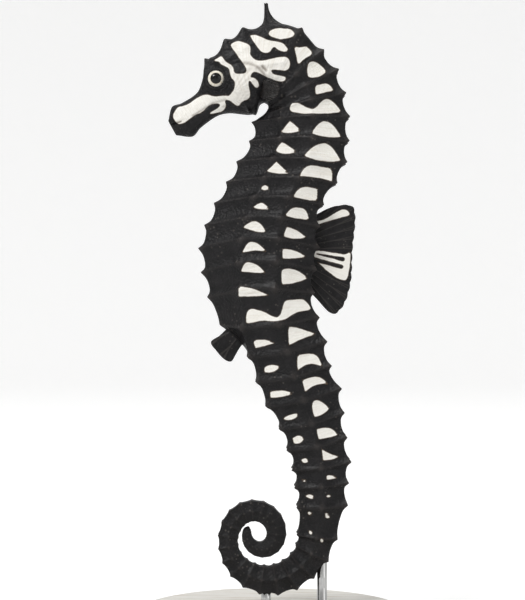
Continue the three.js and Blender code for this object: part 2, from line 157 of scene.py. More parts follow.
def smooth_run(points: tuple[Point2, ...], count: int, samples: int = 600) -> Array:
    """Evenly spaced places along the Catmull-Rom curve through some points.

    Args:
        points: The points.
        count: Number of places.
        samples: Number of places at which the curve's length is measured.

    Returns:
        The places, shape (count, 2).
    """
    given = np.array(points)
    padded = np.vstack([given[0], given, given[-1]])
    t = np.linspace(0, len(given) - 1, samples)
    i = np.minimum(t.astype(int), len(given) - 2)
    curve = catmull_rom([padded[i + k] for k in range(4)], (t - i)[:, None])
    run = np.concatenate([[0], np.cumsum(np.hypot(*np.diff(curve, axis=0).T))])
    wanted = np.linspace(0, run[-1], count)
    return np.stack([np.interp(wanted, run, curve[:, k]) for k in range(2)], -1)


def peak(distance: Array, width: Array | float) -> Array:
    """Sharp peak, the exponential of minus |distance / width| to the power 1.4."""
    return np.exp(-(np.abs(distance / width) ** 1.4))


def bell(distance: Array, width: float) -> Array:
    """Round bell, the exponential of minus (distance / width) squared."""
    return np.exp(-((distance / width) ** 2))


def ease(low: float, high: float, x: Array) -> Array:
    """Rise from 0 at low to 1 at high with level ends, 3t squared less 2t cubed."""
    t = np.clip((x - low) / (high - low), 0, 1)
    return t * t * (3 - 2 * t)


def turns(count: int) -> Array:
    """Angles of evenly spaced places round a circle, from 0 to just under a turn."""
    return np.arange(count) / count * TURN


def soft_least(a: Array, b: Array, softness: float) -> Array:
    """The lesser field, less (softness - gap) squared / 4 softness where the gap between them is small."""
    near = np.clip(softness - np.abs(a - b), 0, None) / softness
    return np.minimum(a, b) - near * near * softness / 4


# ---------- meshes


def grid_faces(rows: int, columns: int, closed: bool) -> Array:
    """Quads of a grid of vertices numbered row by row.

    Args:
        rows: Number of rows.
        columns: Number of columns.
        closed: Whether the last column joins the first.

    Returns:
        Vertex numbers, shape (faces, 4).
    """
    row = np.arange(rows - 1)[:, None] * columns
    column = np.arange(columns if closed else columns - 1)[None, :]
    onward = (column + 1) % columns
    corners = [row + column, row + onward, row + columns + onward, row + columns + column]
    return np.stack(corners, -1).reshape(-1, 4)


@dataclass
class Surface:
    """A mesh in the making: vertices in millimetres, quads, triangles and point values.

    corners holds a map place for each corner of the quads and then of the triangles, if any.
    """

    points: Array
    quads: Array
    triangles: Array = field(default_factory=lambda: np.zeros((0, 3), int))
    values: dict[str, Array] = field(default_factory=dict)
    corners: Array | None = None

    def to_mesh(self, name: str, finish: Material) -> bpy.types.Mesh:
        """Writes the surface into a new smooth-shaded mesh, in metres.

        Args:
            name: The mesh's name.
            finish: Its material.

        Returns:
            The mesh.
        """
        mesh = bpy.data.meshes.new(name)
        counts = np.concatenate([np.full(len(self.quads), 4), np.full(len(self.triangles), 3)])
        corners = np.concatenate([self.quads.ravel(), self.triangles.ravel()]).astype(np.int32)
        mesh.vertices.add(len(self.points))
        mesh.vertices.foreach_set("co", (self.points * MM).astype(np.float32).ravel())
        mesh.loops.add(len(corners))
        mesh.loops.foreach_set("vertex_index", corners)
        mesh.polygons.add(len(counts))
        starts = np.concatenate([[0], np.cumsum(counts)[:-1]]).astype(np.int32)
        mesh.polygons.foreach_set("loop_start", starts)
        mesh.polygons.foreach_set("use_smooth", np.ones(len(counts), bool))
        mesh.update(calc_edges=True)
        mesh.validate()
        for key, value in self.values.items():
            kind, part = ("FLOAT", "value") if value.ndim == 1 else ("FLOAT_VECTOR", "vector")
            attribute = mesh.attributes.new(key, kind, "POINT")
            attribute.data.foreach_set(part, value.astype(np.float32).ravel())
        if self.corners is not None:
            layer = mesh.uv_layers.new(name="OFBake")
            layer.data.foreach_set("uv", self.corners.astype(np.float32).ravel())
        mesh.materials.append(finish)
        return mesh

    def to_object(self, name: str, finish: Material, slot: str) -> Piece:
        """Makes the surface a piece at the origin that rides on the root body.

        Args:
            name: The piece's name.
            finish: Its material.
            slot: A material slot's name; not used.

        Returns:
            The piece.
        """
        piece = new_object(name, self.to_mesh(name, finish))
        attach(piece, "root")
        return piece


def outward_facing(surface: Surface) -> Surface:
    """The surface with its faces turned over if it encloses a negative volume.

    The volume is a sixth of the sum of a . (b x c) over its triangles.

    Args:
        surface: A closed surface.

    Returns:
        The same surface, with all faces pointing outwards.
    """
    quads, points = surface.quads, surface.points
    triangles = np.vstack([quads[:, [0, 1, 2]], quads[:, [0, 2, 3]], surface.triangles])
    a, b, c = (points[triangles[:, k]] for k in range(3))
    if np.einsum("ij,ij->i", a, np.cross(b, c)).sum() < 0:
        return Surface(points, quads[:, ::-1], surface.triangles[:, ::-1], surface.values)
    return surface


def shell(front: Array, back: Array, values: dict[str, Array]) -> Surface:
    """Closed thin plate from its two faces, joined all round the edge.

    Args:
        front: Points of one face, shape (n, m, 3).
        back: Points of the other, shape (n, m, 3).
        values: Values for both faces, each of shape (n, m, ...).

    Returns:
        The closed surface.
    """
    rows, columns = front.shape[:2]
    count = rows * columns
    number = np.arange(count).reshape(rows, columns)
    edge = np.concatenate([number[0, :-1], number[:-1, -1], number[-1, :0:-1], number[:0:-1, 0]])
    onward = np.roll(edge, -1)
    rim = np.stack([edge, edge + count, onward + count, onward], -1)
    face = grid_faces(rows, columns, False)
    quads = np.vstack([face, face[:, ::-1] + count, rim])
    points = np.vstack([front.reshape(-1, 3), back.reshape(-1, 3)])
    kept = {}
    for key, part in values.items():
        flat = part.reshape(count, *part.shape[2:])
        kept[key] = np.concatenate([flat, flat])
    return outward_facing(Surface(points, quads, values=kept))


def closed_tube(grid: Array, first: Array, last: Array, values: dict[str, Array] | None = None) -> Surface:
    """Closed surface of rows joined round, with a pole beyond each end row.

    Args:
        grid: The rows of places, shape (rows, columns, 3).
        first: Pole before the first row.
        last: Pole after the last row.
        values: Values of the places in order and then of the two poles, if any.

    Returns:
        The surface, with all faces pointing outwards.
    """
    rows, columns = grid.shape[:2]
    count = rows * columns
    end = count - columns
    j = np.arange(columns)
    k = (j + 1) % columns
    fans = np.vstack([
        np.stack([np.full(columns, count), k, j], -1),
        np.stack([np.full(columns, count + 1), end + j, end + k], -1),
    ])
    points = np.vstack([grid.reshape(-1, 3), first, last])
    return outward_facing(Surface(points, grid_faces(rows, columns, True), fans, values or {}))


def lathe(profile: Array, around: int, centre: Point2) -> Surface:
    """Closed solid of revolution about an upright axis.

    A point at angle a has x = centre + r cos a and y = centre + r sin a, with r and z from the
    profile, whose first and last points lie on the axis.

    Args:
        profile: Radius and height pairs from the bottom of the axis to its top, shape (n, 2).
        around: Number of points round the axis.
        centre: Place of the axis.

    Returns:
        The surface, with a pole at each end.
    """
    angle, ring = turns(around), profile[1:-1]
    x = centre[0] + ring[:, :1] * np.cos(angle)
    y = centre[1] + ring[:, :1] * np.sin(angle)
    grid = np.stack([x, y, np.broadcast_to(ring[:, 1:], x.shape)], -1)
    return closed_tube(grid, np.array([*centre, profile[0, 1]]), np.array([*centre, profile[-1, 1]]))


# ---------- the body's form


CURL_COURSE = np.array([
    (0, 97, 4.3), (0.1, 127.5, 3.65), (0.2, 157.5, 3.35), (0.32, 200, 2.9), (0.45, 250, 2.25),
    (0.58, 308, 2.4), (0.7, 385, 2.4), (0.82, 472, 2.3), (0.92, 576, 1.65), (1, 657, 0.95),
])


@dataclass(frozen=True)
class CurlLine:
    """The tail's line from CURL_START to its tip; its course is share, heading and half depth."""

    start: Point2 = (11.2, 24.4)
    length: float = 67.0
    first_ring: float = 4.4
    last_ring: float = 0.85
    tip_round: float = 0.018
    tip_bluntness: float = 0.93
    flatness: float = 0.86
    steps: int = 400

    def share(self, u: Array) -> Array:
        """Share of the length at ring coordinate u, by e to the power -u, as rings grow shorter."""
        rate = (self.first_ring - self.last_ring) / self.length
        return np.expm1(-(u - CURL_START) * rate) / np.expm1(-(TAIL_TIP - CURL_START) * rate)

    def course(self, t: Array) -> tuple[Array, Array]:
        """Heading in radians, 90 degrees being down, and half depth at share t."""
        heading, depth = through_stations(CURL_COURSE[:, 0], CURL_COURSE[:, 1:], t).T
        return np.radians(heading), depth

    def section(self, u: Array) -> Array:
        """Dorsal point, ventral point and half width of the sections at u.

        The line's place is the running sum of short steps along its heading. The half depth
        follows the course and rounds off over the last few hundredths.

        Args:
            u: Ring coordinates, shape (n,).

        Returns:
            Rows of dorsal x, dorsal z, ventral x, ventral z and half width, shape (n, 5).
        """
        t = np.clip(self.share(u), 0, 1)
        middle, _ = self.course((np.arange(self.steps) + 0.5) / self.steps)
        step = self.length / self.steps
        marks = np.arange(self.steps + 1) / self.steps
        run_x = self.start[0] + np.concatenate([[0], np.cumsum(np.cos(middle))]) * step
        run_z = self.start[1] - np.concatenate([[0], np.cumsum(np.sin(middle))]) * step
        x, z = np.interp(t, marks, run_x), np.interp(t, marks, run_z)
        heading, plain = self.course(t)
        rounding = np.maximum(1 - (1 - t) / self.tip_round, 0) * self.tip_bluntness
        depth = plain * np.sqrt(1 - rounding**2)
        out_x, out_z = np.sin(heading) * depth, np.cos(heading) * depth
        return np.stack([x + out_x, z + out_z, x - out_x, z - out_z, depth * self.flatness], -1)


# Measured sections: ring coordinate, dorsal x and z, ventral x and z, half width.
STATIONS = np.array([
    (-12, -25.9, 128.2, -23.8, 124.4, 1.0), (-11.3, -25.0, 131.5, -19.9, 124.1, 2.5),
    (-10.6, -22.7, 132.4, -17.9, 126.2, 2.4), (-9, -18.7, 135.1, -13.7, 129.2, 2.4),
    (-8, -17.4, 138.3, -10.8, 129.9, 3.2), (-7, -16.7, 141.6, -8.2, 129.7, 3.9),
    (-6, -13.9, 144.2, -6.2, 129.5, 4.3), (-5, -9.9, 147.8, -4.9, 129.6, 4.7),
    (-4, -4.9, 150.5, -3.9, 129.6, 4.9), (-3, 1.2, 152.2, -3.0, 131.9, 4.8),
    (-2, 7.3, 150.5, -1.5, 132.5, 4.6), (-1, 12.3, 144.8, -1.0, 131.8, 4.5),
    (0, 15.7, 140.0, -1.1, 130.9, 4.6), (1, 17.4, 134.4, -2.2, 129.5, 4.8),
    (2, 18.4, 128.7, -4.2, 127.8, 5.2), (3, 18.2, 122.7, -4.7, 123.0, 5.6),
    (4, 17.6, 117.4, -7.8, 117.9, 6.0), (5, 15.1, 112.2, -10.4, 112.8, 6.3),
    (6, 11.8, 106.8, -13.4, 107.5, 6.6), (7, 10.9, 101.4, -15.8, 102.0, 6.8),
    (8, 10.8, 96.2, -17.3, 96.2, 7.0), (10, 9.6, 85.0, -15.3, 84.0, 6.8),
    (11, 10.8, 78.8, -12.5, 77.0, 6.4), (12, 12.7, 72.8, -6.2, 70.5, 5.9),
    (13, 13.8, 66.8, -3.6, 64.3, 5.7), (14, 16.3, 61.1, -1.2, 58.2, 5.5),
    (15, 17.0, 55.1, 2.3, 52.5, 5.3), (16, 17.7, 49.0, 4.4, 47.1, 5.1),
    (17, 18.7, 43.0, 5.9, 41.9, 4.9), (18, 18.1, 37.8, 6.6, 37.3, 4.8),
    (19, 17.9, 32.3, 7.2, 32.4, 4.6),
])


class HalfShape(Enum):
    """Half sections: superior, lateral and inferior ridge as shares of depth and width, roundness."""

    SNOUT = (0.13, 0.68, 0.5, 1.0, 0.87, 0.68, 1.0)
    CHEEK = (0.06, 0.56, 0.52, 1.0, 0.9, 0.6, 0.9)
    NAPE = (0.02, 0.5, 0.45, 1.0, 0.86, 0.72, 0.6)
    TRUNK = (0.0, 0.5, 0.36, 1.0, 0.7, 0.76, 0.3)
    TAIL = (0.0, 0.7, 0.5, 0.98, 1.0, 0.62, 0.2)


SHAPE_PLACES = (
    (-12.0, HalfShape.SNOUT), (-8.6, HalfShape.SNOUT), (-7.0, HalfShape.CHEEK),
    (-3.0, HalfShape.CHEEK), (-1.0, HalfShape.NAPE), (3.0, HalfShape.TRUNK),
    (10.5, HalfShape.TRUNK), (12.2, HalfShape.TAIL), (TAIL_TIP, HalfShape.TAIL),
)


@dataclass(frozen=True)
class Ridge:
    """One lengthwise ridge: its ridge coordinate and the height of its spines ring by ring."""

    v: int
    spines: Rows


RIDGES = (
    Ridge(1, (
        (-3, 0.5), (-2, 1.7), (0, 1.9), (2, 1.5), (18, 1.4), (22, 0.9), (27, 0.7), (36, 0.45), (50, 0),
    )),
    Ridge(2, ((-3, 0), (0, 0.6), (2, 1.0), (10, 1.0), (12, 0.5), (14, 0.1), (50, 0))),
    Ridge(3, (
        (-3, 0), (4, 0.8), (10, 0.8), (12.5, 1.4), (18, 1.3), (22, 0.8), (27, 0.55), (36, 0.3), (50, 0),
    )),
    Ridge(4, ((-3, 0), (1, 0), (2, 1.1), (9, 1.2), (10.5, 0.8), (12, 0), (50, 0))),
)
BELLY_LEAN: Rows = ((-3, 0), (2, 1), (9, 1), (12, -1), (24, -1), (30, 0), (50, 0))
BACK_LEAN: Rows = ((-3, 0), (0, -1), (24, -1), (30, 0), (50, 0))
HOLLOWS: Rows = ((-3, 0), (-1, 0.4), (2, 0.6), (19, 0.6), (26, 0.35), (35, 0.2), (48, 0.05), (50, 0))


@dataclass(frozen=True)
class HeadSpine:
    """A lone spine of the head by ring coordinate, ridge coordinate and height."""

    u: float
    v: float
    height: float
    rings_wide: float = 0.26
    ridges_wide: float = 0.4

    def away(self, u: Array, v: Array) -> Array:
        """Distance from the spine's middle, in spine widths."""
        return np.hypot((u - self.u) / self.rings_wide, (v - self.v) / self.ridges_wide)


HEAD_SPINES = {
    "nose": HeadSpine(-6.7, 0, 1.5),
    "brow": HeadSpine(-6.4, 1, 1.2),
    "front_crown": HeadSpine(-5.33, 0.5, 1.9),
    "rear_crown": HeadSpine(-4.42, 0.5, 1.9),
    "cheek": HeadSpine(-5.5, 3, 0.7),
}


@dataclass(frozen=True)
class BodyForm:
    """The plain form of head, trunk and tail, with its rings, ridges and spines."""

    curl: CurlLine = CurlLine()
    ring_width: float = 0.17
    ring_lean: float = 0.3
    spine_width: float = 0.2
    first_ring: float = -2.6
    rib_height: float = 0.22
    rib_width: float = 0.09
    rib_start: Point2 = (-3.0, -0.5)
    rib_end: Point2 = (36.0, 48.0)
    rib_shade: float = 0.6
    ridge_fill: float = 0.3
    seam_height: float = 0.16
    seam_shade: float = 0.25
    full_spacing: float = 4.0
    back_edge: float = 1.6
    belly_edge: float = 2.4

    def sections(self, u: Array) -> Array:
        """Section rows at u: through the stations up to CURL_START, then from the curl.

        Args:
            u: Ring coordinates, shape (n,).

        Returns:
            Rows of dorsal x, dorsal z, ventral x, ventral z and half width, shape (n, 5).
        """
        joins = np.array([CURL_START, CURL_START + 1])
        rows = np.vstack([STATIONS[:, 1:], self.curl.section(joins)])
        straight = through_stations(np.append(STATIONS[:, 0], joins), rows, u)
        return np.where((u >= CURL_START)[:, None], self.curl.section(u), straight)

    def half_section(self, u: Array, v: Array) -> tuple[Array, Array]:
        """Depth share and width share of the half section.

        Between two ridges it is the straight line between them, bent towards the Catmull-Rom
        curve through the four nearest ridges by the section's roundness.

        Args:
            u: Ring coordinates, shape (n,).
            v: Ridge coordinates from 0 at the back to 4 at the belly, shape (m,).

        Returns:
            Two arrays of shape (n, m).
        """
        places = np.array([place for place, _ in SHAPE_PLACES])
        shapes = np.array([shape.value for _, shape in SHAPE_PLACES])
        high, high_wide, mid, mid_wide, low, low_wide, rounded = through_stations(places, shapes, u).T
        zero, one = np.zeros(len(u)), np.ones(len(u))
        depth = np.stack([high, zero, high, mid, low, one, low], -1)
        width = np.stack([-high_wide, zero, high_wide, mid_wide, low_wide, zero, -low_wide], -1)
        i = np.minimum(np.floor(v), 3).astype(int)
        t = (v - i)[None, :]
        bent = []
        for corners in (depth, width):
            near = [corners[:, i + k] for k in range(4)]
            flat = near[1] + (near[2] - near[1]) * t
            bent.append(flat + (catmull_rom(near, t) - flat) * rounded[:, None])
        return bent[0], bent[1]

    def ring_phase(self, u: Array) -> Array:
        """Distance from the nearest ring crest, in rings, from -0.5 to 0.5."""
        return u - np.round(u)

    def crest(self, u: Array, v: Array) -> Array:
        """How near a ring's crest a place is, from 0 to 1, and 0 in front of the first ring.

        The crest's width is the ring width times 1 + lean on the side towards the tail and
        1 - lean on the other, so that spines hook towards the tail where the lean is negative.

        Args:
            u: Ring coordinates, shape (n, 1).
            v: Ridge coordinates, shape (1, m).

        Returns:
            The closeness, shape (n, m).
        """
        phase = self.ring_phase(u)
        back = along_table(BACK_LEAN, u) * ease(self.belly_edge, self.back_edge, v)
        belly = along_table(BELLY_LEAN, u) * ease(self.back_edge, self.belly_edge, v)
        width = self.ring_width * (1 + self.ring_lean * (back + belly) * np.sign(phase))
        return np.where(u > self.first_ring, peak(phase, width), 0)

    def relief(self, u: Array, v: Array) -> tuple[Array, Array]:
        """Height of rings, ridges and spines over the plain section.

        A spine is its ridge's height times the ring's crest times the ridge's line. A rib runs
        round each crest, a seam along each ridge, and the plates between sink to the hollow's
        depth, less by the ridge fill at a ridge. Lone spines of the head add their own peaks.

        Args:
            u: Ring coordinates, shape (n, m).
            v: Ridge coordinates, shape (1, m).

        Returns:
            The height in millimetres and the closeness to a crest or ridge, which the finish lightens as a
            painted highlight, each (n, m).
        """
        crest = self.crest(u, v)
        rib = np.where(u > self.first_ring, bell(self.ring_phase(u), self.rib_width), 0)
        grown = ease(*self.rib_start, u) * (1 - ease(*self.rib_end, u))
        height, line = np.zeros_like(crest), np.zeros_like(crest)
        for ridge in RIDGES:
            run = peak(v - ridge.v, self.spine_width)
            height = height + along_table(ridge.spines, u) * crest * run
            line = np.maximum(line, run)
        height = height - along_table(HOLLOWS, u) * (1 - crest) * (1 - self.ridge_fill * line)
        ribs, seams = self.rib_height * rib * (1 - line), self.seam_height * line * (1 - crest)
        height = height + grown * (ribs + seams)
        for spine in HEAD_SPINES.values():
            away = spine.away(u, v)
            height = height + spine.height * peak(away, 1.0)
            line = np.maximum(line, bell(away, 1.0))
        seam = line * (self.seam_shade + (1 - self.seam_shade) * crest)
        return height, np.maximum(seam, self.rib_shade * rib * grown)


# ---------- the head's own features


def segment_gap(x: Array, z: Array, start: Point2 | Array, end: Point2 | Array) -> tuple[Array, Array]:
    """Distance to a line segment in the side view, and the share along it of the nearest place.

    Args:
        x: Places along X.
        z: Places along Z.
        start: One end of the segment, as X and Z.
        end: The other end.

    Returns:
        The distance and the share from 0 at the start to 1 at the end.
    """
    run, rise = end[0] - start[0], end[1] - start[1]
    share = np.clip(((x - start[0]) * run + (z - start[1]) * rise) / (run**2 + rise**2), 0, 1)
    return np.hypot(x - start[0] - run * share, z - start[1] - rise * share), share


@dataclass(frozen=True)
class Fold:
    """A raised line on the flank in the side view, or a groove where its height is negative."""

    start: Point2
    end: Point2
    height: float
    width: float
    # groove depth at which the painted shade in a fold's bottom is full
    full_shade_depth: float = 0.4

    def shade(self) -> float:
        """How much painted shade darkens its bottom, from 0 on a raised line to 1 in a deep groove."""
        return min(max(-self.height / self.full_shade_depth, 0), 1)


@dataclass(frozen=True)
class RingFold:
    """A raised ring in the side view, or a groove where its height is negative."""

    radius: float
    height: float
    width: float

    def line(self, r: Array) -> Array:
        """Closeness to the ring at distance r from its centre, from 0 to 1, by a bell."""
        return bell(r - self.radius, self.width)


@dataclass(frozen=True)
class Dome:
    """A dome on the flank in the side view."""

    x: float
    z: float
    radius: float
    height: float

    def swell(self, x: Array, z: Array) -> Array:
        """Height times (1 less the squared share of the radius) to the power 1.5."""
        share = np.hypot(x - self.x, z - self.z) / self.radius
        return self.height * np.clip(1 - share**2, 0, None) ** 1.5


FOLDS = {
    "brow": (
        Fold((-16.2, 141.4), (-11.5, 143.0), 0.38, 0.55),
        Fold((-11.5, 143.0), (-6.5, 146.0), 0.38, 0.6),
        Fold((-6.5, 146.0), (-1.0, 148.8), 0.32, 0.6),
    ),
    "temple": (
        Fold((-11.0, 138.9), (-4.0, 141.0), 0.32, 0.55),
        Fold((-4.0, 141.0), (3.0, 142.2), 0.27, 0.55),
    ),
    "jaw_line": (
        Fold((-19.6, 129.0), (-14.6, 132.2), -0.24, 0.3),
        Fold((-14.6, 132.2), (-11.6, 132.9), -0.2, 0.3),
    ),
    "snout_keel": (Fold((-22.6, 131.4), (-17.6, 135.7), 0.18, 0.5),),
    "nostrils": (
        Fold((-17.2, 135.9), (-17.0, 136.2), -0.5, 0.26),
        Fold((-16.3, 134.9), (-16.1, 135.1), -0.4, 0.24),
    ),
    "throat_fold": (Fold((-12.0, 131.3), (-5.5, 130.8), -0.16, 0.35),),
    "gill_pore": (Fold((-2.4, 141.0), (-1.5, 140.1), -0.55, 0.36),),
    "shoulder_ring": (Fold((-0.9, 139.4), (-0.7, 133.4), 0.35, 0.8),),
    "mouth_slit": (Fold((-25.9, 126.8), (-22.7, 127.6), -0.45, 0.2),),
    "lips": (
        Fold((-25.5, 127.6), (-22.6, 128.4), 0.2, 0.34),
        Fold((-25.0, 126.1), (-22.4, 126.8), 0.2, 0.34),
    ),
}
ORBIT_GROOVE = RingFold(2.86, -0.17, 0.2)
ORBIT_RINGS = {
    "lid": RingFold(2.3, 0.2, 0.3),
    "fold": RingFold(3.25, 0.13, 0.2),
    "groove": ORBIT_GROOVE,
    "outer_groove": RingFold(3.65, -0.08, 0.2),
}


@dataclass(frozen=True)
class HeadDetail:
    """Orbit, eyelid, gill cover and folds, as added half width in the side view, with painted shade in their
    creases.
    """

    eye_x: float
    eye_z: float
    eye_side: float
    eye_radius: float
    socket_gap: float = 0.25
    socket_rim: Point2 = (1.86, 2.2)
    orbit_radius: float = 3.6
    orbit_height: float = 1.1
    groove_shade: float = 0.6
    ripple: RingFold = RingFold(3.2, 0.05, 0.55)
    ripples: int = 26
    turret_foot: float = 2.15
    turret_side: float = 4.1
    turret_fall: float = 2.0
    turret_reach: float = 2.2
    turret_softness: float = 0.5
    turret_rise: Point2 = (0.0, 0.45)
    gill_cover: Dome = Dome(-7.0, 136.0, 6.2, 1.2)
    gill_root: Point2 = (-10.5, 133.5)
    gill_lines: int = 30
    gill_line_height: float = 0.08
    gill_line_shade: float = 0.14
    gill_line_start: Point2 = (0.8, 2.2)
    gill_line_end: Point2 = (0.72, 0.98)
    gill_edge: RingFold = RingFold(5.89, -0.36, 0.38)
    gill_edge_shade: float = 0.8
    gill_lip: RingFold = RingFold(5.208, 0.18, 0.4)
    gill_rear: Point2 = (-3.5, 1.5)
    gill_rear_slope: float = 0.4
    flank: float = 0.3

    def eye_distance(self, x: Array, z: Array) -> Array:
        """Distance from the eye's centre in the side view."""
        return np.hypot(x - self.eye_x, z - self.eye_z)

    def gill(self, x: Array, z: Array) -> tuple[Array, Array]:
        """Fine lines of the gill cover that fan from its root, and its sunk rear edge.

        The lines are a cosine of the angle at the root, and the edge is a bell across the
        dome's rim, kept to the rear and the top by an ease along X and the slope's share of Z.

        Args:
            x: Places along X.
            z: Places along Z.

        Returns:
            Added half width, and the painted shade in the creases from 0 to 1.
        """
        cover = self.gill_cover
        radius = np.hypot(x - cover.x, z - cover.z)
        root_x, root_z = x - self.gill_root[0], z - self.gill_root[1]
        inside = 1 - ease(cover.radius * self.gill_line_end[0], cover.radius * self.gill_line_end[1], radius)
        reach = ease(*self.gill_line_start, np.hypot(root_x, root_z)) * inside
        lines = np.cos(np.arctan2(root_z, root_x) * self.gill_lines)
        rearward = ease(*self.gill_rear, x - cover.x + self.gill_rear_slope * (z - cover.z))
        edge, lip = self.gill_edge.line(radius) * rearward, self.gill_lip.line(radius) * rearward
        added = self.gill_line_height * lines * reach
        added = added + self.gill_edge.height * edge + self.gill_lip.height * lip
        return added, self.gill_edge_shade * edge + self.gill_line_shade * (1 - lines) * reach

    def orbit(self, x: Array, z: Array) -> tuple[Array, Array]:
        """Eyelid rim and the ring folds round it, rippled by a cosine of the turn round the eye.

        Args:
            x: Places along X.
            z: Places along Z.

        Returns:
            Added half width, and the painted shade in the creases from 0 to 1.
        """
        r = self.eye_distance(x, z)
        angle = np.arctan2(z - self.eye_z, x - self.eye_x)
        folds = sum(ring.height * ring.line(r) for ring in ORBIT_RINGS.values())
        ripple = self.ripple.height * np.cos(angle * self.ripples) * self.ripple.line(r)
        return folds + ripple, self.groove_shade * ORBIT_GROOVE.line(r)

    def turret(self, r: Array, sideness: Array) -> Array:
        """Half width of the skin round the eye, less the fall times its share of the reach to the 1.3."""
        past = np.clip(r - self.turret_foot, 0, None) / self.turret_reach
        return (self.turret_side - self.turret_fall * past**1.3) * ease(*self.turret_rise, sideness)

    def apply(self, x: Array, z: Array, wide: Array, sideness: Array) -> tuple[Array, Array]:
        """Half width with the head's features on it, and the painted shade in the creases between them.

        Args:
            x: Places along X.
            z: Places along Z.
            wide: Half width before.
            sideness: How far the place is on the flank, from 0 at the middle plane to 1.

        Returns:
            Half width, sunk under the eyeball inside the lid, and the painted shade in the creases from 0 to
            1.
        """
        r = self.eye_distance(x, z)
        orbit_dome = Dome(self.eye_x, self.eye_z, self.orbit_radius, self.orbit_height)
        domed = wide + (self.gill_cover.swell(x, z) + orbit_dome.swell(x, z)) * sideness
        base = -soft_least(-domed, -self.turret(r, sideness), self.turret_softness)
        gill, gill_crease_shade = self.gill(x, z)
        orbit, orbit_crease_shade = self.orbit(x, z)
        added, crease = gill + orbit, np.maximum(gill_crease_shade, orbit_crease_shade)
        for fold in (part for folds in FOLDS.values() for part in folds):
            line = bell(segment_gap(x, z, fold.start, fold.end)[0], fold.width)
            added = added + fold.height * line
            crease = np.maximum(crease, line * fold.shade())
        under = self.eye_side + np.sqrt(np.clip(self.eye_radius**2 - r**2, 0, None)) - self.socket_gap
        inside = (1 - ease(*self.socket_rim, r)) * (sideness > self.flank)
        plain = base + added * sideness
        return plain + (under - plain) * inside, crease * np.clip(sideness * 2, 0, 1)


# ---------- pale markings


@dataclass(frozen=True)
class Stroke:
    """A tapered pale streak between two places in the side view."""

    start: Point2
    end: Point2
    start_radius: float
    end_radius: float

    def depth(self, x: Array, z: Array) -> Array:
        """How deep a place lies in the streak: its radius there less the distance from it."""
        gap, share = segment_gap(x, z, self.start, self.end)
        return self.start_radius + (self.end_radius - self.start_radius) * share - gap


@dataclass(frozen=True)
class Blot:
    """A pale mark with a smooth outline round its named corners in the side view."""

    corners: tuple[Point2, ...]
    rounds: int = 2
    cut: float = 0.25

    def outline(self) -> Array:
        """The corners cut off at the cut's share of each side, a few times over.

        Returns:
            The outline's places in order, shape (n, 2).
        """
        line = np.array(self.corners)
        for _ in range(self.rounds):
            onward = np.roll(line, -1, axis=0)
            step = self.cut * (onward - line)
            line = np.stack([line + step, onward - step], 1).reshape(-1, 2)
        return line

    def depth(self, x: Array, z: Array) -> Array:
        """How deep a place lies in the mark: its distance from the outline, negative outside.

        The distance is the least over the outline's edges, and a place is inside when a line
        from it along X crosses the outline an odd number of times. It is worked out only within
        a millimetre of the mark.

        Args:
            x: Places along X.
            z: Places along Z.

        Returns:
            Depth in millimetres.
        """
        start = self.outline()
        end = np.roll(start, -1, axis=0)
        low, high = start.min(0) - 1, start.max(0) + 1
        near = (x > low[0]) & (x < high[0]) & (z > low[1]) & (z < high[1])
        px, pz = x[near][:, None], z[near][:, None]
        gap = segment_gap(px, pz, start.T, end.T)[0].min(1)
        run, rise = (end - start).T
        spans = (start[:, 1] > pz) != (end[:, 1] > pz)
        level = np.where(rise == 0, 1e-9, rise)
        crosses = spans & (px < run * (pz - start[:, 1]) / level + start[:, 0])
        depth = np.full(x.shape, UNMARKED)
        depth[near] = np.where(crosses.sum(1) % 2 == 1, gap, -gap)
        return depth


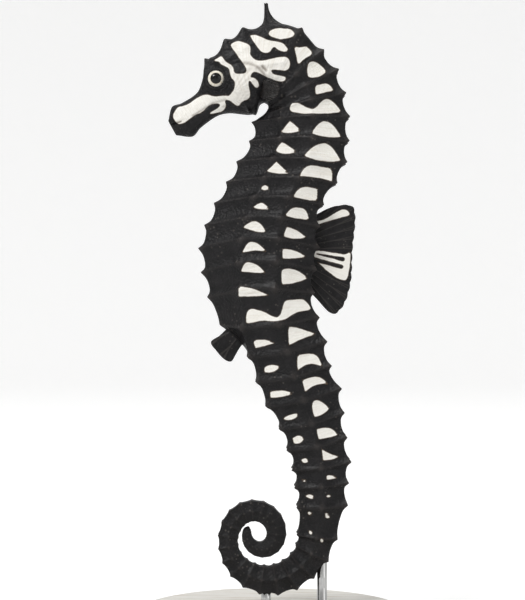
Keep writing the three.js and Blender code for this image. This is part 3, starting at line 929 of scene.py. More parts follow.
HEAD_BLOTS = {
    "snout_stripe": Blot((
        (-24.8, 129.2), (-24.1, 130.4), (-23.3, 131.4), (-22.3, 131.5), (-21.0, 131.9), (-18.0, 134.1),
        (-16.0, 134.5), (-14.5, 133.8), (-12.3, 133.9), (-10.6, 133.9), (-10.4, 132.6), (-11.4, 132.9),
        (-11.7, 132.6), (-11.4, 131.4), (-12.3, 130.2), (-15.4, 129.5), (-15.3, 130.0), (-13.2, 131.2),
        (-12.9, 131.7), (-13.3, 132.1), (-14.8, 132.0), (-15.8, 131.6), (-17.5, 129.9), (-19.3, 129.3),
        (-21.5, 127.4), (-22.3, 127.1), (-23.4, 127.0), (-24.4, 128.1),
    )),
    "blaze": Blot((
        (-11.4, 133.6), (-10.7, 133.9), (-9.8, 134.7), (-9.2, 135.9), (-9.2, 137.3), (-10.3, 138.3),
        (-10.6, 140.5), (-11.3, 141.1), (-12.8, 141.8), (-13.0, 142.4), (-14.7, 142.6), (-13.0, 143.8),
        (-12.3, 143.7), (-11.8, 142.5), (-9.6, 141.3), (-9.4, 139.2), (-7.1, 139.1), (-6.4, 139.5),
        (-6.3, 140.1), (-6.8, 141.3), (-10.3, 146.3), (-10.2, 146.8), (-9.8, 147.1), (-8.3, 147.7),
        (-5.7, 146.7), (-5.2, 145.5), (-5.6, 144.1), (-4.1, 142.6), (-2.1, 142.4), (2.8, 143.7),
        (4.4, 142.9), (4.4, 140.7), (3.4, 139.9), (0.1, 140.3), (-0.3, 140.0), (0.2, 139.1),
        (3.1, 138.7), (3.5, 138.1), (2.8, 137.3), (0.6, 137.6), (-3.9, 139.7), (-4.9, 139.5),
        (-5.5, 138.2), (-4.6, 138.2), (-3.5, 137.5), (-3.1, 136.1), (-3.6, 135.6), (-4.4, 135.8),
        (-5.3, 137.2), (-5.7, 137.4), (-5.9, 136.6), (-5.1, 133.3), (-7.6, 132.3), (-8.1, 131.5),
        (-9.0, 131.5), (-10.8, 132.9), (-11.4, 132.8),
    )),
    "crown_leaf": Blot((
        (-5.6, 148.8), (-5.3, 149.1), (-3.9, 149.1), (-1.4, 147.8), (2.1, 147.2), (3.4, 146.4), (4.1, 144.9),
        (2.8, 144.7), (1.5, 145.2), (0.6, 146.0), (0.1, 145.7), (-0.7, 144.4), (-2.4, 144.5), (-3.2, 145.2),
    )),
    "coronet_spot": Blot((
        (-0.9, 149.3), (-0.6, 150.2), (1.3, 150.9), (3.1, 150.6), (4.3, 150.8), (5.4, 149.9), (5.7, 149.3),
        (5.3, 148.6), (2.6, 147.9), (1.6, 148.0), (-0.6, 148.7),
    )),
}
JOINED_BLOTS = {
    "nape": Blot((
        (5.4, 146.3), (6.9, 145.8), (8.5, 146.4), (9.2, 145.7), (10.3, 144.4), (8.0, 143.1), (6.7, 141.6),
        (6.2, 142.0), (5.9, 144.3),
    )),
    "first_ring": Blot((
        (4.3, 130.4), (4.7, 131.8), (5.1, 132.1), (7.0, 131.9), (8.5, 130.9), (10.5, 130.3), (12.5, 132.9),
        (14.0, 133.3), (15.5, 132.4), (17.0, 130.4), (16.9, 129.7), (9.3, 129.2), (5.3, 129.7),
    )),
    "last_trunk_ring": Blot((
        (-6.5, 77.7), (-6.4, 79.8), (-5.7, 81.2), (-2.6, 80.6), (0.8, 78.9), (1.5, 79.1), (2.3, 79.9),
        (2.9, 82.8), (3.6, 83.3), (7.3, 83.5), (8.3, 83.1), (9.7, 81.3), (9.2, 80.7), (6.3, 80.3),
        (4.8, 79.6), (3.3, 78.5), (0.8, 77.9), (-2.9, 78.2), (-5.8, 77.4),
    )),
}
PATCH_LIMIT = 1.3
LEAST_CROWN = 0.05
PATCH_CORNER = 0.3
CORNER_SHARE = 0.4


@dataclass(frozen=True)
class PlatePatch:
    """A pale patch on one plate: an arch over a bowed foot.

    ring is the ring coordinate of its middle and place its share of the depth from the back.
    reach is its half width and rise the arch's height, in millimetres. crown is where the arch
    peaks, from -1 at the end near the back to 1 at the belly's, and sharpness its exponent: 1 is
    a tent, 2 an arch, 5 a flat top. drop is how far the foot bows down, and tilt a turn in degrees.
    """

    ring: float
    place: float
    reach: float
    rise: float
    crown: float
    sharpness: float
    drop: float
    tilt: float

    def depth(self, form: BodyForm, x: Array, z: Array) -> Array:
        """How deep a place lies in the patch, in millimetres.

        With a the share of the reach and t = |(a - crown) / (1 +- crown)|, the top is rise times
        (1 - t to the sharpness) and the foot -drop (1 - a squared). The depth is the least
        distance from top, foot and ends, with corners rounded by up to CORNER_SHARE of the rise,
        where the distance to the top is its rise divided by the root of one and the top's slope
        squared.

        Args:
            form: The body, whose section at the ring gives the patch its place and direction.
            x: Places along X.
            z: Places along Z.

        Returns:
            Depths, negative outside.
        """
        back_x, back_z, belly_x, belly_z, _ = form.sections(np.array([self.ring]))[0]
        deep = math.hypot(belly_x - back_x, belly_z - back_z)
        down_x, down_z = (belly_x - back_x) / deep, (belly_z - back_z) / deep
        off_x = x - back_x - down_x * self.place * deep
        off_z = z - back_z - down_z * self.place * deep
        belly_ward, head_ward = off_x * down_x + off_z * down_z, off_x * down_z - off_z * down_x
        cos, sin = math.cos(math.radians(self.tilt)), math.sin(math.radians(self.tilt))
        across, along = belly_ward * cos + head_ward * sin, head_ward * cos - belly_ward * sin
        a = np.clip(across / self.reach, -PATCH_LIMIT, PATCH_LIMIT)
        side = np.where(a < self.crown, 1 + self.crown, 1 - self.crown)
        t = np.abs((a - self.crown) / side)
        top = self.rise * (1 - t**self.sharpness)
        steepness = self.sharpness * np.maximum(t, LEAST_CROWN) ** (self.sharpness - 1)
        slope = self.rise * steepness / (side * self.reach)
        under_top = (top - along) / np.hypot(1, slope)
        over_foot = along + self.drop * (1 - a * a)
        softness = min(PATCH_CORNER, CORNER_SHARE * self.rise)
        between = soft_least(under_top, over_foot, softness)
        return soft_least(between, self.reach - np.abs(across), softness)


# Fields of PlatePatch, in order.
DORSAL_PATCHES = (
    (-0.34, 0.229, 2.41, 3.40, 0.17, 2.5, 0.71, 15),
    (0.73, 0.210, 2.35, 2.29, 0.31, 4.7, -0.06, 3),
    (2.77, 0.213, 3.73, 3.49, 0.19, 1.9, 0.54, 5),
    (3.85, 0.216, 4.65, 3.85, -0.07, 1.8, 0.68, 5),
    (4.84, 0.186, 4.14, 3.24, -0.38, 6.0, -0.37, 6),
    (5.75, 0.170, 2.98, 2.98, -0.63, 5.1, 0.15, 7),
    (6.62, 0.188, 3.03, 2.60, -0.11, 3.1, 0.14, 6),
    (7.51, 0.187, 2.89, 2.41, 0.68, 1.5, 0.41, 1),
    (8.46, 0.181, 2.98, 2.38, 0.92, 2.1, 0.07, -3),
    (9.48, 0.159, 3.35, 3.56, 0.64, 2.3, 0.36, -12),
    (11.82, 0.246, 3.73, 4.32, 0.54, 1.3, -0.34, -15),
    (12.99, 0.248, 3.17, 3.79, 0.58, 5.1, -1.12, 1),
    (13.81, 0.274, 3.04, 3.04, 0.84, 4.6, -0.82, -8),
    (14.83, 0.301, 2.21, 3.55, 0.13, 2.3, 0.40, -19),
    (15.87, 0.275, 2.52, 2.67, 0.89, 3.5, 0.08, -5),
    (16.77, 0.309, 2.09, 2.83, 0.81, 0.8, 0.23, -6),
    (17.74, 0.292, 1.35, 1.09, 0.78, 1.7, 0.17, -8),
    (18.61, 0.367, 0.60, 0.40, 0.04, 1.7, 0.22, -7),
    (19.35, 0.356, 0.85, 0.72, 0.57, 2.9, 0.46, 23),
    (20.16, 0.351, 0.40, 0.58, 0.16, 2.0, 0.52, -28),
)
VENTRAL_PATCHES = (
    (2.61, 0.602, 2.59, 2.48, 0.04, 1.1, 0.35, -4),
    (3.55, 0.602, 2.66, 2.20, 0.39, 1.3, 0.58, 1),
    (4.56, 0.585, 2.70, 2.61, 0.21, 1.0, 0.24, 5),
    (5.33, 0.620, 1.20, 0.83, -0.05, 1.6, 0.46, -3),
    (6.24, 0.556, 2.06, 1.47, -0.03, 1.4, 0.15, 5),
    (7.22, 0.560, 2.92, 2.20, 0.04, 1.9, 0.25, 12),
    (8.21, 0.539, 3.08, 2.63, 0.23, 2.0, -0.42, -2),
    (9.05, 0.556, 2.97, 2.35, 0.47, 2.3, 0.08, 4),
    (10.03, 0.571, 3.78, 2.51, 0.94, 1.6, 0.09, 0),
    (11.86, 0.735, 2.44, 1.87, 0.97, 2.1, 0.04, -9),
    (12.82, 0.768, 2.10, 1.30, 0.53, 2.7, 0.54, -11),
    (13.88, 0.781, 2.84, 1.40, 0.74, 3.0, 0.31, -1),
    (14.80, 0.802, 1.90, 0.67, -0.36, 4.6, 0.60, -6),
    (15.85, 0.814, 1.37, 1.40, 0.62, 4.3, 0.55, -17),
    (16.77, 0.812, 0.91, 0.71, -0.25, 1.8, 0.42, 15),
    (17.79, 0.858, 0.47, 0.50, 0.88, 1.8, 0.22, -27),
    (18.65, 0.806, 1.15, 0.68, -0.63, 2.0, 0.29, 19),
    (19.30, 0.779, 0.86, 0.50, 0.24, 2.2, 0.42, 33),
    (19.86, 0.705, 0.50, 0.50, 0.63, 2.0, 0.55, -21),
)


@dataclass(frozen=True)
class Markings:
    """All the pale markings of the skin."""

    patches: tuple[PlatePatch, ...] = tuple(PlatePatch(*row) for row in DORSAL_PATCHES + VENTRAL_PATCHES)
    blots: tuple[Blot, ...] = (*HEAD_BLOTS.values(), *JOINED_BLOTS.values())

    def depth(self, form: BodyForm, x: Array, z: Array) -> Array:
        """Depth in the pale markings in millimetres: the greatest of all patches and blots."""
        patches = [patch.depth(form, x, z) for patch in self.patches]
        return np.maximum.reduce(patches + [blot.depth(x, z) for blot in self.blots])


# ---------- shader trees


class Tree:
    """Short calls for laying out a shader tree."""

    def __init__(self, tree: NodeTree) -> None:
        """Starts with the tree to fill."""
        self.tree = tree

    def feed(self, node: Node, inputs: Inputs) -> None:
        """Links or sets a node's inputs.

        Args:
            node: The node.
            inputs: A socket to link or a constant to set for each input, by name or number.
        """
        for key, value in inputs.items():
            if isinstance(value, Socket):
                self.tree.links.new(value, node.inputs[key])
            else:
                node.inputs[key].default_value = value

    def node(self, kind: str, inputs: Inputs | None = None, **settings: object) -> Node:
        """Adds a node.

        Args:
            kind: The node's type name.
            inputs: What feeds its inputs, as in feed.
            **settings: Attributes of the node.

        Returns:
            The new node.
        """
        made = self.tree.nodes.new(kind)
        for key, value in settings.items():
            setattr(made, key, value)
        self.feed(made, inputs or {})
        return made

    def maths(self, operation: str, a: object, b: object = 0.0) -> Socket:
        """Result of an operation on two numbers or sockets."""
        return self.node("ShaderNodeMath", {0: a, 1: b}, operation=operation).outputs[0]

    def plus(self, a: object, b: object) -> Socket:
        """Sum of two numbers or sockets."""
        return self.maths("ADD", a, b)

    def times(self, a: object, b: object) -> Socket:
        """Product of two numbers or sockets."""
        return self.maths("MULTIPLY", a, b)

    def stretch(self, place: object, factors: object) -> Socket:
        """A vector with each axis multiplied by its own factor."""
        return self.node("ShaderNodeVectorMath", {0: place, 1: factors}, operation="MULTIPLY").outputs[0]

    def rise(self, value: object, low: float, high: float, bottom: float = 0.0, top: float = 1.0) -> Socket:
        """Smooth rise from bottom at low to top at high."""
        inputs = {0: value, 1: low, 2: high, 3: bottom, 4: top}
        return self.node("ShaderNodeMapRange", inputs, interpolation_type="SMOOTHSTEP").outputs[0]

    def blend(self, share: object, a: object, b: object) -> Socket:
        """Colour a turned to colour b by a share."""
        return self.node("ShaderNodeMix", {0: share, 6: a, 7: b}, data_type="RGBA").outputs[2]

    def layers(self, colour: object, *coats: tuple[object, object]) -> Socket:
        """A colour under coats of other colours.

        Args:
            colour: The lowest colour.
            *coats: Share and colour of each coat, from the lowest up.

        Returns:
            The colour on top.
        """
        for share, coat in coats:
            colour = self.blend(share, colour, coat)
        return colour

    def noise(self, place: object, scale: object, detail: float = 3.0, rough: float = 0.5) -> Socket:
        """Noise value at a place."""
        inputs = {"Vector": place, "Scale": scale, "Detail": detail, "Roughness": rough}
        return self.node("ShaderNodeTexNoise", inputs).outputs[0]

    def cells(self, place: object, scale: object, feature: str = "SMOOTH_F1") -> Socket:
        """Distance to the nearest point of a cell pattern."""
        made = self.node("ShaderNodeTexVoronoi", {"Vector": place, "Scale": scale}, feature=feature)
        return made.outputs["Distance"]

    def bump(self, height: object, strength: float, depth: float) -> Socket:
        """Normal of a height pattern, with its depth in metres."""
        inputs = {"Height": height, "Strength": strength, "Distance": depth}
        return self.node("ShaderNodeBump", inputs).outputs[0]

    def attribute(self, name: str, part: str = "Fac") -> Socket:
        """A value kept on the mesh."""
        return self.node("ShaderNodeAttribute", attribute_name=name).outputs[part]

    def place(self) -> Socket:
        """Object coordinates."""
        return self.node("ShaderNodeTexCoord").outputs["Object"]

    def group(self, shared: NodeTree, inputs: Inputs) -> Outputs:
        """Outputs of a shared group with its own inputs."""
        return self.node("ShaderNodeGroup", inputs, node_tree=shared).outputs


@dataclass(frozen=True)
class SharedGroup:
    """Sockets of a node group that several finishes place: the kind of each input, and the outputs."""

    name: str
    inputs: dict[str, str]
    outputs: tuple[str, ...]

    def start(self) -> tuple[Tree, Outputs, Node]:
        """Makes the group with its sockets and nothing between them.

        Returns:
            Its tree, the sockets given to it and the node that keeps its results.
        """
        group = bpy.data.node_groups.new(self.name, "ShaderNodeTree")
        for key, kind in self.inputs.items():
            group.interface.new_socket(key, in_out="INPUT", socket_type=f"NodeSocket{kind}")
        for key in self.outputs:
            group.interface.new_socket(key, in_out="OUTPUT", socket_type="NodeSocketFloat")
        tree = Tree(group)
        return tree, tree.node("NodeGroupInput").outputs, tree.node("NodeGroupOutput")


def hide_grain_group() -> NodeTree:
    """Node group of the fine grain that skin and fins share.

    Mottle is broad noise, Flecks a mask of sparse small dots from a cell pattern, and Height adds
    round pimples from a cell pattern to fine noise.

    Returns:
        The group, with inputs Place and Grain, the number of pimples to the metre.
    """
    sockets = SharedGroup("hide_grain", {"Place": "Vector", "Grain": "Float"}, ("Mottle", "Flecks", "Height"))
    tree, given, kept = sockets.start()
    place, grain = given["Place"], given["Grain"]
    dots = tree.cells(place, tree.times(grain, 0.42), "F1")
    patches = tree.noise(place, tree.times(grain, 0.1), 2.0)
    pimples = tree.rise(tree.cells(place, grain), 0.75, 0.1)
    fine = tree.noise(place, tree.times(grain, 2.5), 2.0)
    tree.feed(kept, {
        "Mottle": tree.noise(place, tree.times(grain, 0.16), 4.0, 0.62),
        "Flecks": tree.times(tree.rise(dots, 0.24, 0.16), tree.rise(patches, 0.48, 0.62)),
        "Height": tree.plus(tree.times(pimples, 0.8), tree.times(fine, 0.35)),
    })
    return tree.tree


def wear_group() -> NodeTree:
    """Node group of the fine handling marks that wood and steel share.

    Streaks is noise stretched along one axis by the Stretch vector, and Dust is broad noise
    raised to a soft mask.

    Returns:
        The group, with inputs Place, Stretch and Scale.
    """
    inputs = {"Place": "Vector", "Stretch": "Vector", "Scale": "Float"}
    tree, given, kept = SharedGroup("fine_wear", inputs, ("Streaks", "Dust")).start()
    place, scale = given["Place"], given["Scale"]
    broad = tree.noise(place, tree.times(scale, 0.3), 4.0)
    tree.feed(kept, {
        "Streaks": tree.noise(tree.stretch(place, given["Stretch"]), scale, 5.0, 0.6),
        "Dust": tree.rise(broad, 0.4, 0.75),
    })
    return tree.tree


def new_finish(name: str) -> tuple[Material, Tree, Node]:
    """A new material with its Principled shader.

    Args:
        name: The material's name.

    Returns:
        The material, its tree and the shader node.
    """
    made = bpy.data.materials.new(name)
    made.use_nodes = True
    made.node_tree.nodes.clear()
    tree = Tree(made.node_tree)
    shader = tree.node("ShaderNodeBsdfPrincipled")
    tree.node("ShaderNodeOutputMaterial", {"Surface": shader.outputs[0]})
    return made, tree, shader


@dataclass(frozen=True)
class HideFinish:
    """Dark skin with pale markings, for the body, the coronet and the fins.

    An edge is the pair of values between which a colour comes up. edge and halo are the depths in
    a marking for the pale colour and for the brown fringe round it. streaks stretches the fine
    lines in the pale colour over rings and ridges. A cover is the most that a colour hides of
    what lies under it.
    """

    name: str
    grain: float = 1900.0
    deep: Colour = (0.0035, 0.0032, 0.0038, 1)
    dark: Colour = (0.010, 0.009, 0.0098, 1)
    # lighter colour on crests and ridges: a painted highlight on the skin, and the rays' own lighter tone on
    # the fins
    crest: Colour = (0.036, 0.031, 0.029, 1)
    fleck: Colour = (0.09, 0.08, 0.07, 1)
    fringe: Colour = (0.15, 0.10, 0.06, 1)
    pale: Colour = (0.90, 0.88, 0.83, 1)
    pale_shade: Colour = (0.72, 0.67, 0.58, 1)
    # painted shade laid into the creases of the pale markings
    fold: Colour = (0.16, 0.12, 0.09, 1)
    edge: Point2 = (-0.01, 0.10)
    halo: Point2 = (-0.2, -0.01)
    wobble: float = 0.5
    dark_edge: Point2 = (0.35, 0.68)
    crest_highlight_and_ray_tone_edge: Point2 = (0.25, 1.0)
    streak_edge: Point2 = (0.35, 0.8)
    cloud_edge: Point2 = (0.55, 0.8)
    clear_edge: Point2 = (0.02, 0.45)
    crest_highlight_and_ray_tone_cover: float = 0.75
    fleck_cover: float = 0.5
    fringe_cover: float = 0.45
    crease_shade_cover: float = 0.8
    streak_cover: float = 0.6
    cloud_cover: float = 0.3
    pale_crease_shade_cover: float = 0.75
    streaks: Point3 = (14.0, 1.2, 0.0)
    roughness: float = 0.44
    mottled_roughness: float = 0.16
    pale_roughness: float = 0.08
    specular: float = 0.24
    coat: float = 0.05
    coat_roughness: float = 0.22
    bump: float = 0.7
    bump_depth: float = 0.00018
    lines: float = 0.35
    clear: float = 0.0

    def make(self, grain_group: NodeTree) -> Material:
        """Builds the material.

        The attribute pale gives the depth in a marking in millimetres. ridge gives the closeness to a crest
        or ray, which lightens crests and ridges as a painted highlight and gives rays their own lighter tone.
        The crease attribute gives the closeness to a fold's bottom, darkened there as painted shade. Noise
        shifts the marking's edge, and a brown fringe lies just outside it. A clear finish lets light through
        between rays.

        Args:
            grain_group: The shared group of fine grain.

        Returns:
            The material.
        """
        made, tree, shader = new_finish(self.name)
        mottle, flecks, height = tree.group(grain_group, {"Place": tree.place(), "Grain": self.grain})
        ridge, crease = tree.attribute("ridge"), tree.attribute("crease")
        shift = tree.times(tree.maths("SUBTRACT", mottle, 0.5), self.wobble)
        inside = tree.plus(tree.attribute("pale"), shift)
        mask = tree.rise(inside, *self.edge)
        lines = tree.noise(tree.stretch(tree.attribute("place", "Vector"), self.streaks), 1.0, 3.0)
        body = tree.layers(
            self.deep,
            (tree.rise(mottle, *self.dark_edge), self.dark),
            # crests and ridges lightened: a painted highlight on the skin, the rays' own tone on the fins
            (tree.times(tree.rise(ridge, *self.crest_highlight_and_ray_tone_edge), self.crest_highlight_and_ray_tone_cover), self.crest),
            (tree.times(flecks, self.fleck_cover), self.fleck),
            (tree.times(tree.rise(inside, *self.halo), self.fringe_cover), self.fringe),
            # painted shade: creases darkened to the deep colour
            (tree.times(crease, self.crease_shade_cover), self.deep),
        )
        light = tree.layers(
            self.pale,
            (tree.times(tree.rise(lines, *self.streak_edge), self.streak_cover), self.pale_shade),
            (tree.times(tree.rise(mottle, *self.cloud_edge), self.cloud_cover), self.pale_shade),
            # painted shade: creases in the pale markings darkened to a brown
            (tree.times(crease, self.pale_crease_shade_cover), self.fold),
        )
        smoothest = self.roughness - self.mottled_roughness / 2
        rough = tree.plus(tree.times(mottle, self.mottled_roughness), smoothest)
        relief = tree.plus(height, tree.times(lines, self.lines))
        tree.feed(shader, {
            "Base Color": tree.blend(mask, body, light),
            "Roughness": tree.plus(rough, tree.times(mask, self.pale_roughness)),
            "Specular IOR Level": self.specular,
            "Coat Weight": self.coat,
            "Coat Roughness": self.coat_roughness,
            "Normal": tree.bump(relief, self.bump, self.bump_depth),
        })
        if self.clear:
            tree.feed(shader, {"Alpha": tree.rise(ridge, *self.clear_edge, 1 - self.clear, 1.0)})
        return made


FIN_HIDE = HideFinish("fin_hide", grain=2600, roughness=0.5, bump=0.35, crest=(0.05, 0.044, 0.04, 1))
CLEAR_FIN = HideFinish(
    "clear_fin", grain=2600, roughness=0.4, bump=0.3, crest=(0.16, 0.14, 0.12, 1), clear=0.5,
)


@dataclass(frozen=True)
class EyeFinish:
    """Wet eyeball: black pupil, ivory iris with fine spokes, dark rim."""

    pupil_radius: float = 1.36
    iris_radius: float = 2.06
    iris: Colour = (0.90, 0.87, 0.78, 1)
    spoke: Colour = (0.62, 0.53, 0.38, 1)
    dark: Colour = (0.003, 0.003, 0.003, 1)
    spokes: Point3 = (9.0, 9.0, 1.5)
    gold_offset: float = 0.08
    gold_width: float = 0.14
    gold_cover: float = 0.5
    spoke_edge: Point2 = (0.42, 0.72)
    pupil_edge: Point2 = (-0.03, 0.04)
    iris_edge: float = 0.08
    roughness_edge: Point2 = (0.3, 0.8)
    roughness: Point2 = (0.1, 0.2)
    specular: float = 0.2
    coat: float = 0.3
    coat_roughness: float = 0.03

    def make(self) -> Material:
        """Builds the material from off_axis, in millimetres, and around, the direction and off_axis.

        Returns:
            The material.
        """
        made, tree, shader = new_finish("eye_wet")
        off = tree.attribute("off_axis")
        spokes = tree.noise(tree.stretch(tree.attribute("around", "Vector"), self.spokes), 1.0, 4.0, 0.6)
        from_gold = tree.maths("ABSOLUTE", tree.maths("SUBTRACT", off, self.pupil_radius + self.gold_offset))
        iris = tree.layers(
            self.iris,
            (tree.rise(spokes, *self.spoke_edge), self.spoke),
            (tree.times(tree.rise(from_gold, self.gold_width, 0.0), self.gold_cover), self.spoke),
        )
        past_pupil = tree.rise(off, *(self.pupil_radius + step for step in self.pupil_edge))
        past_iris = tree.rise(off, self.iris_radius - self.iris_edge, self.iris_radius)
        tree.feed(shader, {
            "Base Color": tree.layers(self.dark, (past_pupil, iris), (past_iris, self.dark)),
            "Roughness": tree.rise(spokes, *self.roughness_edge, *self.roughness),
            "Specular IOR Level": self.specular,
            "Coat Weight": self.coat,
            "Coat Roughness": self.coat_roughness,
        })
        return made


@dataclass(frozen=True)
class LimedWoodFinish:
    """Pale limed wood under satin lacquer."""

    pale: Colour = (0.80, 0.78, 0.73, 1)
    grain: Colour = (0.60, 0.54, 0.45, 1)
    stretch: Point3 = (0.08, 1.0, 1.0)
    scale: float = 900.0
    dust: float = 0.25
    grain_edge: Point2 = (0.46, 0.72)
    roughness_edge: Point2 = (0.3, 0.8)
    roughness: Point2 = (0.38, 0.52)
    bump: float = 0.35
    bump_depth: float = 0.0001

    def make(self, wear: NodeTree) -> Material:
        """Builds the material, with the grain's streaks along X.

        Args:
            wear: The shared group of streaks and dust.

        Returns:
            The material.
        """
        made, tree, shader = new_finish("limed_wood")
        inputs = {"Place": tree.place(), "Stretch": self.stretch, "Scale": self.scale}
        streaks, dust = tree.group(wear, inputs)
        grain = tree.rise(streaks, *self.grain_edge)
        tree.feed(shader, {
            "Base Color": tree.layers(
                self.pale, (grain, self.grain), (tree.times(dust, self.dust), self.pale),
            ),
            "Roughness": tree.rise(streaks, *self.roughness_edge, *self.roughness),
            "Normal": tree.bump(tree.times(streaks, -1.0), self.bump, self.bump_depth),
        })
        return made


@dataclass(frozen=True)
class BrushedSteelFinish:
    """Satin steel brushed along the rod."""

    light: Colour = (0.62, 0.62, 0.61, 1)
    dull: Colour = (0.45, 0.45, 0.45, 1)
    stretch: Point3 = (1.0, 1.0, 0.04)
    scale: float = 6000.0
    dull_edge: Point2 = (0.35, 0.7)
    streak_roughness: float = 0.18
    dust_roughness: float = 0.06

    def make(self, wear: NodeTree) -> Material:
        """Builds the material, with brush lines along Z.

        Args:
            wear: The shared group of streaks and dust.

        Returns:
            The material.
        """
        made, tree, shader = new_finish("satin_steel")
        inputs = {"Place": tree.place(), "Stretch": self.stretch, "Scale": self.scale}
        streaks, dust = tree.group(wear, inputs)
        tree.feed(shader, {
            "Base Color": tree.blend(tree.rise(streaks, *self.dull_edge), self.light, self.dull),
            "Roughness": tree.plus(
                tree.times(streaks, self.streak_roughness), tree.times(dust, self.dust_roughness),
            ),
            "Metallic": 1.0,
        })
        return made


@dataclass(frozen=True)
class FloorPaperFinish:
    """Matt pale paper that glows a little to the camera, so that floor and wall read as one."""

    pale: Colour = (0.84, 0.84, 0.837, 1)
    clouded: Colour = (0.8, 0.8, 0.8, 1)
    cloud_cover: float = 0.03
    roughness: float = 0.9
    specular: float = 0.1
    glow: float = 0.34

    def make(self) -> Material:
        """Builds the material, with faint broad clouds of noise.

        Returns:
            The material.
        """
        made, tree, shader = new_finish("floor_paper")
        clouds = tree.noise(tree.place(), 3.0, 2.0)
        seen = tree.node("ShaderNodeLightPath").outputs["Is Camera Ray"]
        tree.feed(shader, {
            "Base Color": tree.blend(tree.times(clouds, self.cloud_cover), self.pale, self.clouded),
            "Roughness": self.roughness,
            "Specular IOR Level": self.specular,
            "Emission Color": (1, 1, 1, 1),
            "Emission Strength": tree.times(seen, self.glow),
        })
        return made


# ---------- skin


def crowd(even: Array, crowding: float) -> Array:
    """Places drawn towards whole numbers: t less the crowding times sin(turn t) over a turn."""
    return even - crowding * np.sin(TURN * even) / TURN


def round_whole(half: Array) -> Array:
    """Rows of a half carried on round the other side, without the two middle places again."""
    return np.concatenate([half, half[:, -2:0:-1]], axis=1)


def inset(share: Array, margin: float) -> Array:
    """A share from 0 to 1 brought in by a margin at both ends."""
    return margin + (1 - 2 * margin) * share


